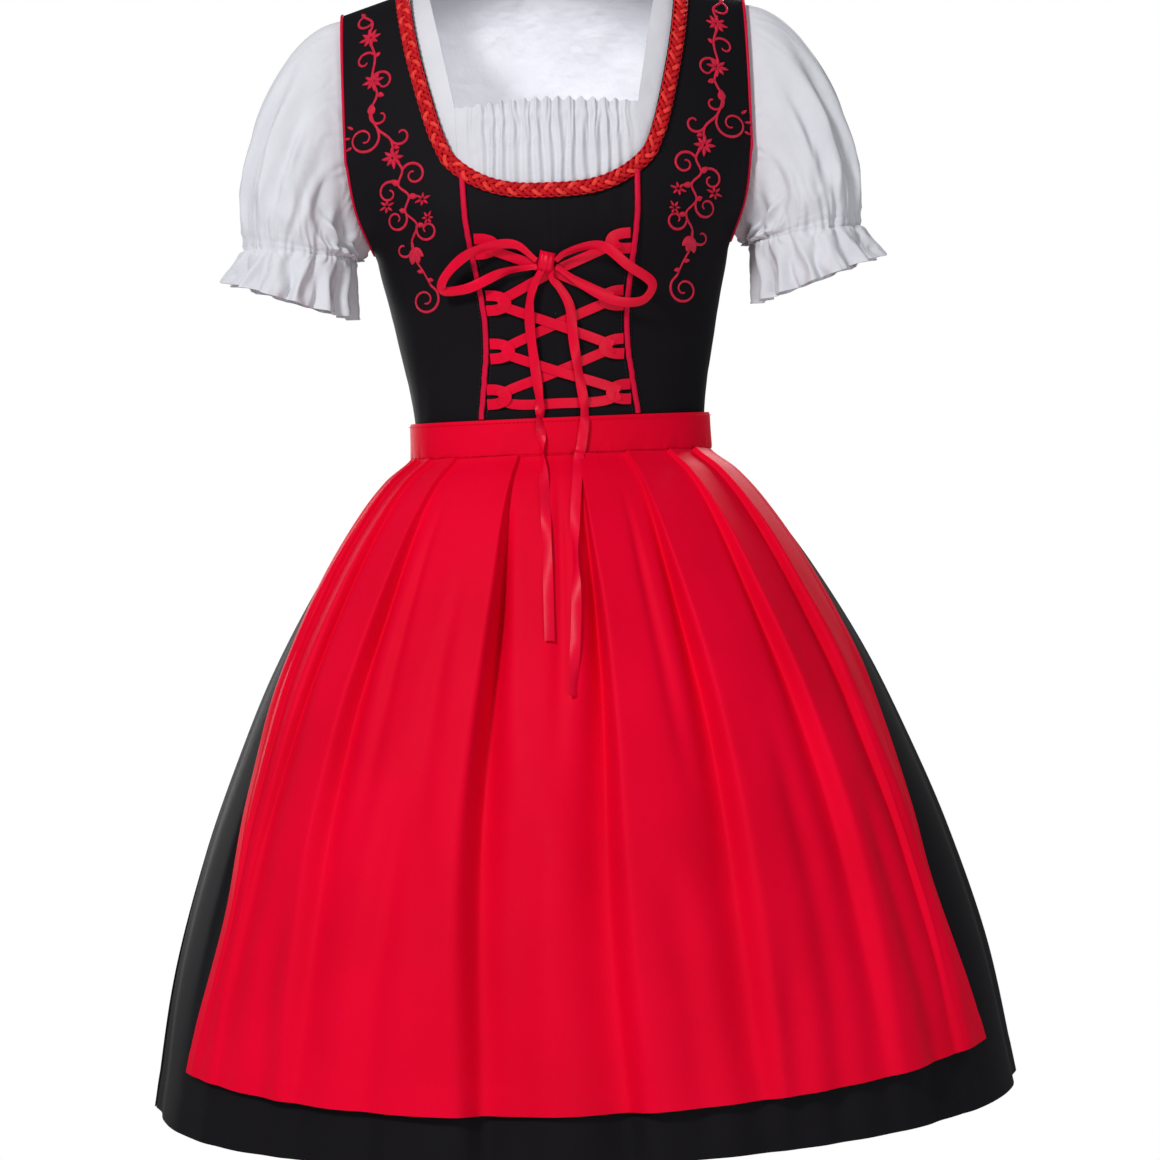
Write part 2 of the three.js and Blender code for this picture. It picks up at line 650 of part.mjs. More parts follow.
// Blouse back: its neck edge stands high between the shoulders
function blouseBack() {
  const levels = [blouseHem, 141, 148, 154, 163, 180, 205, 232, ...[14, 32, 48, 62, 76, 89.8].map(shoulderRow)];
  const outer = levels.map((level) => spread(14).map((u) => {
    const side = Math.PI - blouseSideAngle(level);
    const theta = mix(side, 2 * Math.PI - side, u);
    const half = read(torso, Math.min(level, chestTop), "half");
    const across = Math.min(1, Math.abs(half * Math.sin(theta)) / 103);
    const turned = Math.asin(clamp01((level - chestTop) / (shoulderTop - chestTop))) / degree;
    const keep = mix(56 / 89.8, 1, across ** 3);
    return onBody(theta, level > chestTop ? shoulderRow(turned * keep) : level, -blouseDepth - 0.6);
  }));
  return seamedCloth(outer, blouseWall);
}
add("blouse_back", blouseBack(), "white");

// Sleeve: from the armhole out into a puff, drawn in by elastic, ending in a frill
const sleeve = { gathers: 14, perGather: 3, elastic: 2, puff: 2.4, frill: 5.5 };
const cuff = { x: 227, y: -3, z: 161.5, rx: 48.5, ry: 52, tilt: 3.5 };
const frill = { x: 237.5, y: -5, z: 114, rx: 56.5, ry: 60, tilt: 19 };
const sleeveRows = [-1, 0, 0.16, 0.34, 0.54, 0.74, 0.9, 1, 1.3, 2];
function ringPoint(ring, a) {
  return vec(ring.x - ring.rx * Math.cos(a), ring.y - ring.ry * Math.sin(a), ring.z - ring.tilt * Math.cos(a));
}
function sleevePoint(a, t) {
  const up = -Math.cos(a);
  const front = Math.sin(a);
  const half = a < Math.PI ? a / Math.PI : 2 - a / Math.PI;
  const radial = vec(-Math.cos(a), -Math.sin(a), 0);
  if (t < 0) return armholeSpot(half, a > Math.PI, 6, -blouseDepth).p;
  const ripple = Math.cos(a * sleeve.gathers);
  const end = ringPoint(cuff, a);
  if (t > 1) {
    const p = end.lerp(ringPoint(frill, a), t - 1);
    return p.addScaledVector(radial, ripple * mix(sleeve.elastic, sleeve.frill, t - 1));
  }
  const start = armholeSpot(half, a > Math.PI, -7.5, -blouseDepth).p;
  const leave = start.clone().add(vec(34 + 27 * up, -14 * front, -6 - 2 * up));
  const arrive = end.clone().add(vec(5 * up, -10 * front, 45 + 44 * up - 9 * up * up));
  const curve = new THREE.CubicBezierCurve3(start, leave, arrive, end);
  const swell = sleeve.puff * ease(0.25, 0.6, t) * (t > 0.95 ? sleeve.elastic / sleeve.puff : 1);
  return curve.getPoint(t).addScaledVector(radial, ripple * swell);
}
function sleeveShell() {
  const around = sleeve.gathers * sleeve.perGather;
  const outer = [...sleeveRows].reverse().map((t) => (
    spread(around).slice(0, around).map((u) => sleevePoint(u * 2 * Math.PI, t))));
  return cloth(outer, blouseWall, true);
}
addPair("blouse_sleeve", sleeveShell(), "white");

export default group;
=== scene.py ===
import math

import bmesh
import bpy
import numpy as np
from mathutils import Matrix, Vector


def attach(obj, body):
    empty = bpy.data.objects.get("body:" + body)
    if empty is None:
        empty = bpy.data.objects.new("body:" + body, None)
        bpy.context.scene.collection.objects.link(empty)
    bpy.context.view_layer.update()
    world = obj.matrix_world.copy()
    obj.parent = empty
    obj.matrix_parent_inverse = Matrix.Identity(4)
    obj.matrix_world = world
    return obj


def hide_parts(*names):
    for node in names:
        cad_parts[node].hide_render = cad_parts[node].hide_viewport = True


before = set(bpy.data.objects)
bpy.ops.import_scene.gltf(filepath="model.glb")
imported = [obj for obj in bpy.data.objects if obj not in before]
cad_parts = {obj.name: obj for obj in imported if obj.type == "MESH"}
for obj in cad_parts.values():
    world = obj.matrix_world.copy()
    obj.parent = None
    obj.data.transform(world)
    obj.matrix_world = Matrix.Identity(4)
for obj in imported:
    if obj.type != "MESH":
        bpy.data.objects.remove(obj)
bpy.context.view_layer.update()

# Garment frame: millimetres, heights counted from the waist line; the origin is at the shoulders
shoulderTop = 385.0
chestTop = 230.0
waistSeam = -15.0
hemHeight = -608.0
bandHeight = 35.0
neckPointX = 116.0
shoulderSlope = 0.3
neckRound = 20.0
underarm = 151.0
clothWall = 1.6
apronLift = 2.4 + clothWall
blouseDepth = 4.0
rightAngle = math.pi / 2
seamGap = 0.004

torso = {
    "h": [-15, 25, 61, 97, 133, 151, 187, 230],
    "half": [129, 133, 140, 147, 155, 159, 178, 195],
    "front": [94, 96, 100, 108, 118, 122, 126, 119],
    "back": [86, 88, 91, 95, 99, 101, 104, 104],
}
skirtForm = {
    "h": [-608, -488, -380, -299, -218, -137, -83, -56, -36, -15],
    "half": [386, 364, 332, 301, 265, 219, 181, 157, 132, 129],
    "front": [300, 282, 256, 231, 202, 166, 136, 117, 97, 94],
    "back": [289, 272, 247, 224, 196, 160, 130, 110, 89, 86],
}
apronPleats = [  # angle from the front centre, height, level where it has softened away
    (-68, 6, -430), (-57, 7, -470), (-42, 9, -520), (-15.5, 11, -620),
    (6, 10, -640), (24, 10, -560), (43, 9, -500), (58, 8, -600),
]
apronEdge = {"h": [-567, -434, -326, -218, -110, -35], "angle": [65, 61, 64.5, 69.5, 74, 77]}


def ease(low, high, t):  # smooth step from 0 at low to 1 at high
    q = np.clip((t - low) / (high - low), 0, 1)
    return q * q * (3 - 2 * q)


def mix(a, b, t):
    return a + (b - a) * t


def bell(t, at, wide):  # 1 at its middle, fading as exp(-((t - at) / wide)^2)
    return np.exp(-((t - at) / wide)**2)


def readTable(table, h, key):  # cubic reading between rows, slopes from the rows on each side
    hs = np.array(table["h"], float)
    vs = np.array(table[key], float)
    slopes = np.empty_like(vs)
    slopes[1:-1] = (vs[2:] - vs[:-2]) / (hs[2:] - hs[:-2])
    slopes[0] = (vs[1] - vs[0]) / (hs[1] - hs[0])
    slopes[-1] = (vs[-1] - vs[-2]) / (hs[-1] - hs[-2])
    i = np.clip(np.searchsorted(hs, h) - 1, 0, len(hs) - 2)
    span = hs[i + 1] - hs[i]
    t = np.clip((h - hs[i]) / span, 0, 1)
    return (vs[i] * (2 * t**3 - 3 * t**2 + 1) + vs[i + 1] * (3 * t**2 - 2 * t**3)
            + span * (slopes[i] * (t**3 - 2 * t**2 + t) + slopes[i + 1] * (t**3 - t**2)))


def softNoise(u, v, seed, size=1.0):  # sum of eight sine waves in seeded directions, about -1 to 1
    rng = np.random.default_rng(seed)
    total = np.zeros(np.broadcast(u, v).shape)
    for _ in range(8):
        turn, phase = rng.uniform(0, 2 * math.pi, 2)
        rate = rng.uniform(0.6, 1.7) / size
        total += np.sin(rate * (u * math.cos(turn) + v * math.sin(turn)) * 2 * math.pi + phase)
    return total / 4


def bodySurface(theta, h):  # ellipses up to the chest line, then quarter ellipses over the shoulder
    low = np.minimum(h, chestTop)
    lift = np.clip((h - chestTop) / (shoulderTop - chestTop), 0, 1)
    depth = np.where(np.cos(theta) > 0, readTable(torso, low, "front"), readTable(torso, low, "back"))
    # bust: 7 mm at its point, fading as exp(-distance squared) in angle and height
    bust = 7 * np.exp(-((np.abs(theta) - math.radians(34)) / math.radians(17))**2 - ((low - 172) / 42)**2)
    x = (readTable(torso, low, "half") + 0.3 * bust) * np.sin(theta)
    y = -(depth + bust) * np.cos(theta) * np.sqrt(1 - lift * lift)
    ridge = shoulderTop + shoulderSlope * (neckPointX - np.hypot(x, neckRound))
    z = np.where(h > chestTop, mix(chestTop, ridge, lift), h)
    return np.stack(np.broadcast_arrays(x, y, z), axis=-1)


def skirtSurface(theta, h):  # ellipses that widen to the hem, with soft folds from the sides to the back
    turn = np.abs(np.arctan2(np.sin(theta), np.cos(theta)))
    depth = np.where(np.cos(theta) > 0, readTable(skirtForm, h, "front"), readTable(skirtForm, h, "back"))
    fall = np.clip((waistSeam - h) / (waistSeam - hemHeight), 0, 1)
    free = ease(math.radians(78), math.radians(104), turn)
    fold = free * (np.cos(24 * (math.pi - turn)) + 0.25 * np.sin(7 * theta)) * 13 * fall
    x = (readTable(skirtForm, h, "half") + fold) * np.sin(theta)
    return np.stack(np.broadcast_arrays(x, -(depth + fold) * np.cos(theta), h), axis=-1)


def surfaceAt(surface, theta, h, out=0.0):  # surface point moved out along the surface's own normal
    theta, h = np.broadcast_arrays(np.asarray(theta, float), np.asarray(h, float))
    rise = np.where(h + 1 > shoulderTop, -1.0, 1.0)
    p = surface(theta, h)
    along = surface(theta + 0.004, h) - surface(theta - 0.004, h)
    up = (surface(theta, h + rise) - p) * rise[..., None]
    normal = np.cross(along, up)
    normal /= np.linalg.norm(normal, axis=-1, keepdims=True)
    return p + normal * np.asarray(out)[..., None], normal


def pleatParts(angle, h, i, sway=0.6):  # how far past the pleat's edge, and the distance to the next pleat
    at = apronPleats[i][0]
    outward = -1 if at < 0 else 1
    j = i + outward
    inRow = 0 <= j < len(apronPleats) and apronPleats[j][0] * at > 0
    swing = sway * np.sin(h / 75 + i) * ease(-60, -160, h)
    return (angle - at - swing) * outward, abs(apronPleats[j][0] - at) if inRow else 16


# the pleats that the strips lie on are softer than those of the panel
plainFold = {"edge": (0.5, 3.5, -80, -500), "top": 2.2, "full": -130, "fade": (0.75, -200, 40),
             "power": 1, "sway": 0}
panelFold = {"edge": (0.2, 2.2, -110, -540), "top": 4.6, "full": -110, "fade": (0.7, -260, 60),
             "power": 0.8, "sway": 0.6}


def apronFold(angle, h, form=plainFold):  # each pleat steps up away from the centre, then slopes back to the cloth
    height = np.zeros(np.broadcast(angle, h).shape)
    sharp, blunt, top, bottom = form["edge"]
    share, start, early = form["fade"]
    for i, (_, high, ends) in enumerate(apronPleats):
        past, reach = pleatParts(angle, h, i, form["sway"])
        soft = mix(sharp, blunt, ease(top, bottom, h))
        body = form["top"] + (high - form["top"]) * ease(-bandHeight, form["full"], h)
        fade = 1 - share * ease(start, ends - early, h)
        height = height + ease(-soft, soft, past) * (1 - np.clip(past / reach, 0, 1)**form["power"]) * body * fade
    return height


def bodyAngle(x, h):  # angle at which the body surface reaches a sideways distance
    low = np.minimum(h, chestTop)
    half = readTable(torso, low, "half") + 1.4 * bell(low, 172, 42)
    return np.arcsin(np.clip(x / half, -1, 1))


def bodySpot(x, h, lift):  # point and normal on the front of the body at a sideways distance
    return surfaceAt(bodySurface, bodyAngle(x, h), h, lift)


def shoulderRow(turn):  # height of a row on the shoulder, 0 degrees at the chest line and 90 at the ridge
    return chestTop + (shoulderTop - chestTop) * np.sin(np.radians(turn))


def garmentSpot(x, h, lift):  # point and normal on the front: body, then the apron band, then the apron
    body, bodyNormal = bodySpot(x, np.maximum(h, 0), lift)
    low = np.minimum(h, 0)
    theta = np.arcsin(np.clip(x / readTable(skirtForm, low, "half"), -1, 1))
    fold = np.where(low < -bandHeight, apronFold(np.degrees(theta), low), 0)
    skirt, skirtNormal = surfaceAt(skirtSurface, theta, low, apronLift + fold + lift)
    above = ease(-3, 3, h)[..., None]
    normal = mix(skirtNormal, bodyNormal, above)
    return mix(skirt, body, above), normal / np.linalg.norm(normal, axis=-1, keepdims=True)


def backSpot(x, h, lift):  # point over the apron ties at the back
    half = readTable(skirtForm, np.minimum(h, waistSeam), "half") + apronLift
    theta = math.pi - np.arcsin(np.clip(x / half, -1, 1))
    low, lowNormal = surfaceAt(skirtSurface, theta, np.minimum(h, waistSeam), apronLift + lift)
    high, highNormal = surfaceAt(bodySurface, theta, np.maximum(h, waistSeam), apronLift + lift)
    above = (np.asarray(h) > waistSeam)[..., None]
    return np.where(above, high, low), np.where(above, highNormal, lowNormal)


# Mesh making
def gridMesh(name, blocks, closedAcross=False):
    # blocks: grids (rows, cols, 3) or stacks of grids (count, rows, cols, 3) in garment millimetres
    points, faces, corners, base = [], [], [], 0
    for block in blocks if isinstance(blocks, list) else [blocks]:
        block = block if block.ndim == 4 else block[None]
        count, rows, cols = block.shape[:3]
        n, r, c = np.meshgrid(np.arange(count), np.arange(rows - 1),
                              np.arange(cols if closedAcross else cols - 1), indexing="ij")
        at, c2 = base + n * rows * cols, (c + 1) % cols
        faces.append(np.stack([at + r * cols + c, at + r * cols + c2,
                               at + (r + 1) * cols + c2, at + (r + 1) * cols + c], -1).reshape(-1, 4))
        stepsU = np.linalg.norm(np.diff(block, axis=2), axis=-1).mean((0, 1))
        stepsV = np.linalg.norm(np.diff(block, axis=1), axis=-1).mean((0, 2))
        u = np.cumsum(np.concatenate([[0], stepsU, stepsU[-1:]])) / 1000
        v = np.cumsum(np.concatenate([[0], stepsV, stepsV[-1:]])) / 1000
        square = [np.stack([u[c + i], v[r + j]], -1) for i, j in ((0, 0), (1, 0), (1, 1), (0, 1))]
        corners.append(np.stack(square, -2).reshape(-1, 2))
        points.append(block.reshape(-1, 3) / 1000 - np.array([0, 0, shoulderTop / 1000]))
        base += count * rows * cols
    mesh = bpy.data.meshes.new(name)
    mesh.from_pydata(np.concatenate(points).tolist(), [], np.concatenate(faces).tolist())
    layer = mesh.uv_layers.new(name="cloth")
    layer.data.foreach_set("uv", np.concatenate(corners).astype(np.float32).ravel())
    mesh.polygons.foreach_set("use_smooth", np.ones(len(mesh.polygons), bool))
    # cut edges stay crisp: an edge with one face is marked sharp
    edgeOf = np.empty(len(mesh.loops), np.int32)
    mesh.loops.foreach_get("edge_index", edgeOf)
    isCut = np.bincount(edgeOf, minlength=len(mesh.edges)) == 1
    mesh.attributes.new("sharp_edge", "BOOLEAN", "EDGE").data.foreach_set("value", isCut)
    mesh.update()
    piece = bpy.data.objects.new(name, mesh)
    bpy.context.scene.collection.objects.link(piece)
    return piece


def dress(piece, material, nodes=()):
    piece.data.materials.append(material)
    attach(piece, "root")
    if nodes:
        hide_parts(*nodes)
    return piece


def thicken(piece, wall):
    solid = piece.modifiers.new("wall", "SOLIDIFY")
    solid.thickness = wall / 1000
    solid.offset = -1
    solid.use_even_offset = False
    return piece


clothKinds = {"dress": ("blackCloth", "dress_cloth"), "apron": ("redCloth", "apron_cloth"),
              "blouse": ("blouseCotton", "blouse_cloth")}


def clothPiece(node, grid, wall, kind, closedAcross=False):
    material, slotName = clothKinds[kind]
    piece = dress(thicken(gridMesh(f"{node}_cloth", grid, closedAcross), wall), look[material], [node])


def mirrorGrid(grid):  # the left copy keeps its faces outwards: x changes sign and the columns turn round
    return grid[:, ::-1] * np.array([-1.0, 1.0, 1.0])


def curveThrough(points, count):  # Catmull-Rom curve through the points, spaced by their distances
    p = np.array(points, float)
    ends = np.vstack([2 * p[0] - p[1], p, 2 * p[-1] - p[-2]])
    gaps = np.sqrt(np.linalg.norm(np.diff(ends, axis=0), axis=1))
    knots = np.concatenate([[0], np.cumsum(gaps)])
    t = np.linspace(knots[1], knots[-2], count)
    i = np.clip(np.searchsorted(knots, t, side="right") - 1, 1, len(p) - 1)
    k = [knots[i + j][:, None] for j in (-1, 0, 1, 2)]
    a = [ends[i + j] for j in (-1, 0, 1, 2)]
    # neighbours are blended three times by t's place between their knots, 1, then 2, then 1 knot apart
    for first, apart, count in ((0, 1, 3), (0, 2, 2), (1, 1, 1)):
        starts = k[first:first + count]
        stops = k[first + apart:first + apart + count]
        a = [(stop - t[:, None]) / (stop - start) * a[j] + (t[:, None] - start) / (stop - start) * a[j + 1]
             for j, (start, stop) in enumerate(zip(starts, stops))]
    return a[0]


def pathSides(points, normals):  # side direction: normal crossed with the path's direction
    along = np.gradient(points, axis=0)
    side = np.cross(normals, along)
    return side / np.linalg.norm(side, axis=-1, keepdims=True)


def carry(points, normals, section):  # profile of (side, out) offsets, or one for each point, along a path
    side = pathSides(points, normals)
    return points[:, None] + side[:, None] * section[..., :1] + normals[:, None] * section[..., 1:]


def pathLength(points):  # distance along a path at each of its points
    return np.concatenate([[0], np.cumsum(np.linalg.norm(np.diff(points, axis=0), axis=1))])


def readPath(at, length, values):  # straight reading of rows of three numbers at distances along a path
    return np.stack([np.interp(at, length, values[:, k]) for k in range(3)], -1)


def roundSection(count, halfWidth, halfHeight):
    t = np.arange(count) * 2 * math.pi / count
    return np.stack([halfWidth * np.cos(t), halfHeight * np.sin(t)], -1)


def closeEnds(piece):  # fills the two open ends of a carried profile
    work = bmesh.new()
    work.from_mesh(piece.data)
    bmesh.ops.holes_fill(work, edges=[edge for edge in work.edges if edge.is_boundary], sides=0)
    bmesh.ops.recalc_face_normals(work, faces=work.faces)
    work.to_mesh(piece.data)
    work.free()
    return piece


# Materials: Principled shaders; the weave follows the piece's own UV map, slow changes its Object coordinates
def newMaterial(name, colour, rough, shine):
    material = bpy.data.materials.new(name)
    material.use_nodes = True
    shader = material.node_tree.nodes["Principled BSDF"]
    shader.inputs["Base Color"].default_value = (*colour, 1)
    shader.inputs["Roughness"].default_value = rough
    shader.inputs["Specular IOR Level"].default_value = shine
    return material


def wire(tree, source, output, target, socket):
    tree.links.new(source.outputs[output], target.inputs[socket])


def mathNode(tree, operation):
    node = tree.nodes.new("ShaderNodeMath")
    node.operation = operation
    return node


def bumpNode(tree, strength, distance):
    node = tree.nodes.new("ShaderNodeBump")
    node.inputs["Strength"].default_value = strength
    node.inputs["Distance"].default_value = distance
    return node


def weave(material, settings):  # crossed thread waves on the UV, with slow tone changes and crumples
    tree = material.node_tree
    shader = tree.nodes["Principled BSDF"]
    uv = tree.nodes.new("ShaderNodeUVMap")
    uv.uv_map = "cloth"
    coords = tree.nodes.new("ShaderNodeTexCoord")
    cross = mathNode(tree, "MULTIPLY")
    for socket, direction in enumerate(("X", "Y")):
        wave = tree.nodes.new("ShaderNodeTexWave")
        wave.bands_direction = direction
        wave.inputs["Scale"].default_value = settings["threads"]
        wave.inputs["Distortion"].default_value = 0.6
        wave.inputs["Detail"].default_value = 1
        wire(tree, uv, "UV", wave, "Vector")
        wire(tree, wave, "Fac", cross, socket)
    slow = tree.nodes.new("ShaderNodeTexNoise")
    slow.inputs["Scale"].default_value = settings["crumple"]
    slow.inputs["Detail"].default_value = 4
    wire(tree, coords, "Object", slow, "Vector")
    fine = bumpNode(tree, settings["weaveBump"], 0.0003)
    broad = bumpNode(tree, settings["crumpleBump"], 0.004)
    wire(tree, cross, "Value", fine, "Height")
    wire(tree, slow, "Fac", broad, "Height")
    wire(tree, fine, "Normal", broad, "Normal")
    wire(tree, broad, "Normal", shader, "Normal")
    # tone = 0.35 * threads + slow noise, between the dark and the light colour
    blendIn = mathNode(tree, "MULTIPLY_ADD")
    wire(tree, cross, "Value", blendIn, 0)
    blendIn.inputs[1].default_value = 0.35
    wire(tree, slow, "Fac", blendIn, 2)
    tone = tree.nodes.new("ShaderNodeMix")
    tone.data_type = "RGBA"
    tone.inputs["A"].default_value = (*settings["dark"], 1)
    tone.inputs["B"].default_value = (*settings["light"], 1)
    wire(tree, blendIn, "Value", tone, "Factor")
    wire(tree, tone, "Result", shader, "Base Color")
    return material


lookColumns = ("rough", "shine", "threads", "crumple", "weaveBump", "crumpleBump", "dark", "light")
lookRows = {
    "blackCloth": (0.72, 0.05, 420, 9, 0.2, 0.15, (0.0052, 0.0046, 0.0056), (0.0095, 0.0085, 0.0105)),
    "redCloth": (0.6, 0.045, 420, 7, 0.16, 0.12, (0.56, 0.0, 0.012), (0.86, 0.0, 0.03)),
    "pipingCloth": (0.55, 0.1, 500, 30, 0.2, 0.1, (0.46, 0.002, 0.022), (0.72, 0.004, 0.05)),
    "satinRibbon": (0.36, 0.16, 700, 26, 0.15, 0.25, (0.56, 0.0, 0.02), (0.86, 0.0, 0.034)),
    "braidCord": (0.42, 0.22, 620, 90, 0.6, 0.2, (0.34, 0.0, 0.004), (0.7, 0.003, 0.011)),
    # a lighter orange-red for one braid strand: painted highlight standing in for light on the strand tops
    "braidPaintedHighlight": (0.36, 0.3, 620, 90, 0.6, 0.2, (0.66, 0.008, 0.01), (0.95, 0.06, 0.04)),
    "blouseCotton": (0.8, 0.1, 480, 24, 0.1, 0.7, (0.6, 0.6, 0.65), (0.71, 0.71, 0.75)),
    "stitchSilk": (0.38, 0.24, 900, 120, 0.6, 0.15, (0.42, 0.003, 0.022), (0.78, 0.012, 0.06)),
    "blackThread": (0.5, 0.3, 900, 60, 0.3, 0.1, (0.01, 0.01, 0.013), (0.02, 0.02, 0.026)),
}
look = {}
for name, row in lookRows.items():
    settings = dict(zip(lookColumns, row))
    look[name] = weave(newMaterial(name, settings["light"], settings["rough"], settings["shine"]), settings)
print("materials ready")


# Bodice lines
frontSeam = {"h": [-15, 7, 61, 97, 169, 222], "x": [69, 67, 61, 62, 73, 75]}
neckRows = {"h": [222, 231, 250, 287, 324, 363, 385], "x": [75, 83, 91, 101, 109, 115, 117]}
backNeckRows = {"h": [316, 330, 350, 370, 385], "x": [74, 88, 102, 112, 117]}
neckMeet, neckBottom = 222.0, 200.0
backBottom, backMeet, backX = 300.0, 316.0, 74.0


def neckHeight(x):  # bottom of the front neckline: a cubic curve
    return neckBottom + (neckMeet - neckBottom) * (np.abs(x) / 75)**3


def frontInner(h):
    return np.where(h < neckMeet, readTable(frontSeam, h, "x"), readTable(neckRows, h, "x"))


def backInner(h):
    curve = backX * (np.clip((h - backBottom) / (backMeet - backBottom), 0, 1))**(1 / 3)
    return np.where(h <= backBottom, seamGap, np.where(h < backMeet, curve, readTable(backNeckRows, h, "x")))


def armholeAngle(h, grow=0.0):  # edge of the armhole, grow widens the hole under the cloth
    q = np.clip((h - underarm + grow) / 75, 0, 1)
    return np.radians(89.9 - (24 + grow / 2.5) * q**0.6)


def sideAngle(h, grow=0.0):  # outer edge of a front piece: the armhole, and the side seam below it
    return np.where(h > underarm - grow, armholeAngle(h, grow), rightAngle - 0.0003)


def denseRows(stops, per):  # heights with extra rows between each two stops
    stops = np.asarray(stops, float)
    return np.interp(np.arange((len(stops) - 1) * per + 1) / per, np.arange(len(stops)), stops)


def seamClear(grid, front):  # front and back pieces end just short of the side and shoulder seams
    sign = -1.0 if front else 1.0
    grid[..., 1] = sign * np.maximum(sign * grid[..., 1], seamGap)
    return grid


bodiceSet = {"rows": 5, "cols": 44, "centreRows": 4, "centreCols": 26, "pucker": 0.35}


def bodicePanels():
    stops = [waistSeam, 35, 80, 120, underarm, 156, 165, 180, 200, neckMeet, 231,
             *shoulderRow(np.array([4, 14, 26, 38, 50, 62, 75])), shoulderRow(89.8)]
    h = denseRows(stops, bodiceSet["rows"])[:, None]
    u = np.linspace(0, 1, bodiceSet["cols"])[None, :]
    start = bodyAngle(frontInner(h) + np.where(h < neckMeet, seamGap, 0.0), h)
    theta = mix(start, sideAngle(h), u)
    # short pulls that fade away from the side and front seams, and long drag lines toward the waist
    edge = np.exp(-u / 0.08) + np.exp(-(1 - u) / 0.07) * (h < underarm)
    pull = -bodiceSet["pucker"] * edge * (0.5 + 0.5 * np.sin(h / 4.2 + 2 * softNoise(h / 60, u, 5)))
    drag = -0.9 * ease(140, 20, h) * np.clip(softNoise(u * 2.2 + h / 200, h / 260, 9), 0, 1)
    side, _ = surfaceAt(bodySurface, theta, h + 0 * u, pull + drag)
    side = seamClear(side, True)

    low = denseRows([stop for stop in stops if stop <= neckMeet], bodiceSet["centreRows"])[:, None]
    v = np.linspace(0, 1, bodiceSet["centreCols"])[None, :]
    x = mix(seamGap, frontInner(low) - seamGap, v)
    level = low - (neckMeet - neckHeight(x)) * ease(underarm, neckMeet, low)
    seam = -0.5 * bell(x, 0.2, 1.6)
    pulls = -0.8 * ease(20, 150, level) * np.clip(softNoise(x / 26, level / 70, 3), 0, 1)
    centre, _ = bodySpot(x, level, seam + pulls)

    backStops = [waistSeam, 35, 80, 120, underarm, 156, 165, 180, 200, 235, 270, backBottom,
                 302, 307, backMeet, 330, 345, 360, shoulderRow(66), shoulderRow(76), shoulderRow(89.8)]
    hb = denseRows(backStops, bodiceSet["rows"])[:, None]
    thetaBack = mix(math.pi - sideAngle(hb), math.pi - bodyAngle(backInner(hb), hb), u)
    dragBack = -1.0 * ease(160, 20, hb) * np.clip(softNoise(u * 2 - hb / 180, hb / 240, 21), 0, 1)
    back, _ = surfaceAt(bodySurface, thetaBack, hb + 0 * u, dragBack)
    back = seamClear(back, False)

    for name, grid in (("side_front", side), ("centre_front", centre), ("back", back)):
        for hand, placed in (("right", grid), ("left", mirrorGrid(grid))):
            clothPiece(f"bodice_{name}_{hand}", placed, 1.2, "dress")


bodicePanels()
print("bodice ready")


# Valleys of the apron; the skirt's front follows them underneath
pleatValleys = [4.0, 5.0, 9.0, 20.0, 18.0, 13.0, 8.0, 5.0]  # one for each row of apronPleats
dentRows = [  # angle, half width, depth, level where it starts, level where it ends
    (-23.5, 2.6, 4.5, -150, -400), (-28.5, 2.4, 8.0, -300, -640), (-35.0, 2.0, 4.0, -90, -330),
    (-46.5, 2.6, 6.0, -380, -640), (-7.5, 2.4, 6.5, -330, -640), (-2.0, 1.8, 4.0, -60, -260),
    (13.5, 2.4, 6.0, -380, -640), (17.5, 1.6, 4.0, -80, -300), (27.5, 2.2, 5.5, -430, -640),
    (34.0, 2.2, 6.5, -280, -640), (50.5, 2.2, 6.0, -330, -640),
]


def apronValley(angle, h):  # troughs deep * exp(-((angle - at) / wide)^2), steeper at a pleat's edge
    total = np.zeros(np.broadcast(angle, h).shape)
    for i, (_, _, ends) in enumerate(apronPleats):
        past, _ = pleatParts(angle, h, i)
        wide = 0.9 + 1.9 * ease(-60, -420, h)
        off = past + 0.5 * wide
        inside = np.exp(-(np.minimum(off, 0) / (1.5 * wide))**2 - (np.maximum(off, 0) / (0.6 * wide))**2)
        reach = ease(-55, -190, h) * (0.35 + 0.65 * ease(ends - 120, ends + 60, h))
        total = total + pleatValleys[i] * inside * reach
    for k, (at, wide, deep, top, bottom) in enumerate(dentRows):
        sway = 0.8 * np.sin((h - top) / 80 + k * 1.7)
        spread = wide * (0.55 + 0.6 * ease(-60, -420, h))
        reach = ease(top + 30, top - 70, h) * ease(bottom - 70, bottom + 70, h)
        total = total + deep * bell(angle, at + sway, spread) * reach
    return total


# Skirt
skirtSet = {"front": 210, "back": 250, "rows": 84}


def skirtPanels():
    t = np.linspace(1, 0, skirtSet["rows"])[:, None]
    h = mix(waistSeam - 0.4, hemHeight, t**1.15)
    for name, start, end in (("front", -rightAngle, rightAngle), ("back", rightAngle, 3 * rightAngle)):
        u = np.linspace(0, 1, skirtSet[name])[None, :]
        theta = mix(start + 0.0002, end - 0.0002, u)
        angle = np.degrees(theta)
        fall = np.clip((waistSeam - h) / (waistSeam - hemHeight), 0, 1)
        # small gathers under the band that open out, then slow dents lower down
        gathers = np.cos(theta * 66 + 1.5 * softNoise(theta * 3, h / 300, 31))
        gathers *= 1.1 * np.exp(-fall * 9) * ease(-36, -48, h)
        dents = -2.6 * fall * np.clip(softNoise(theta * 2.2, h / 420, 33), 0, 1)
        turned = 0.4 * ease(hemHeight + 26, hemHeight + 24, h)
        pressed = apronValley(angle, h) * ease(72, 60, np.abs(angle))
        out = dents + turned + (gathers if name == "back" else -pressed)
        grid, _ = surfaceAt(skirtSurface, theta + 0 * h, h + 0 * u, out)
        grid = seamClear(grid, name == "front")
        clothPiece(f"skirt_{name}", grid, 1.2, "dress")


skirtPanels()
print("skirt ready")


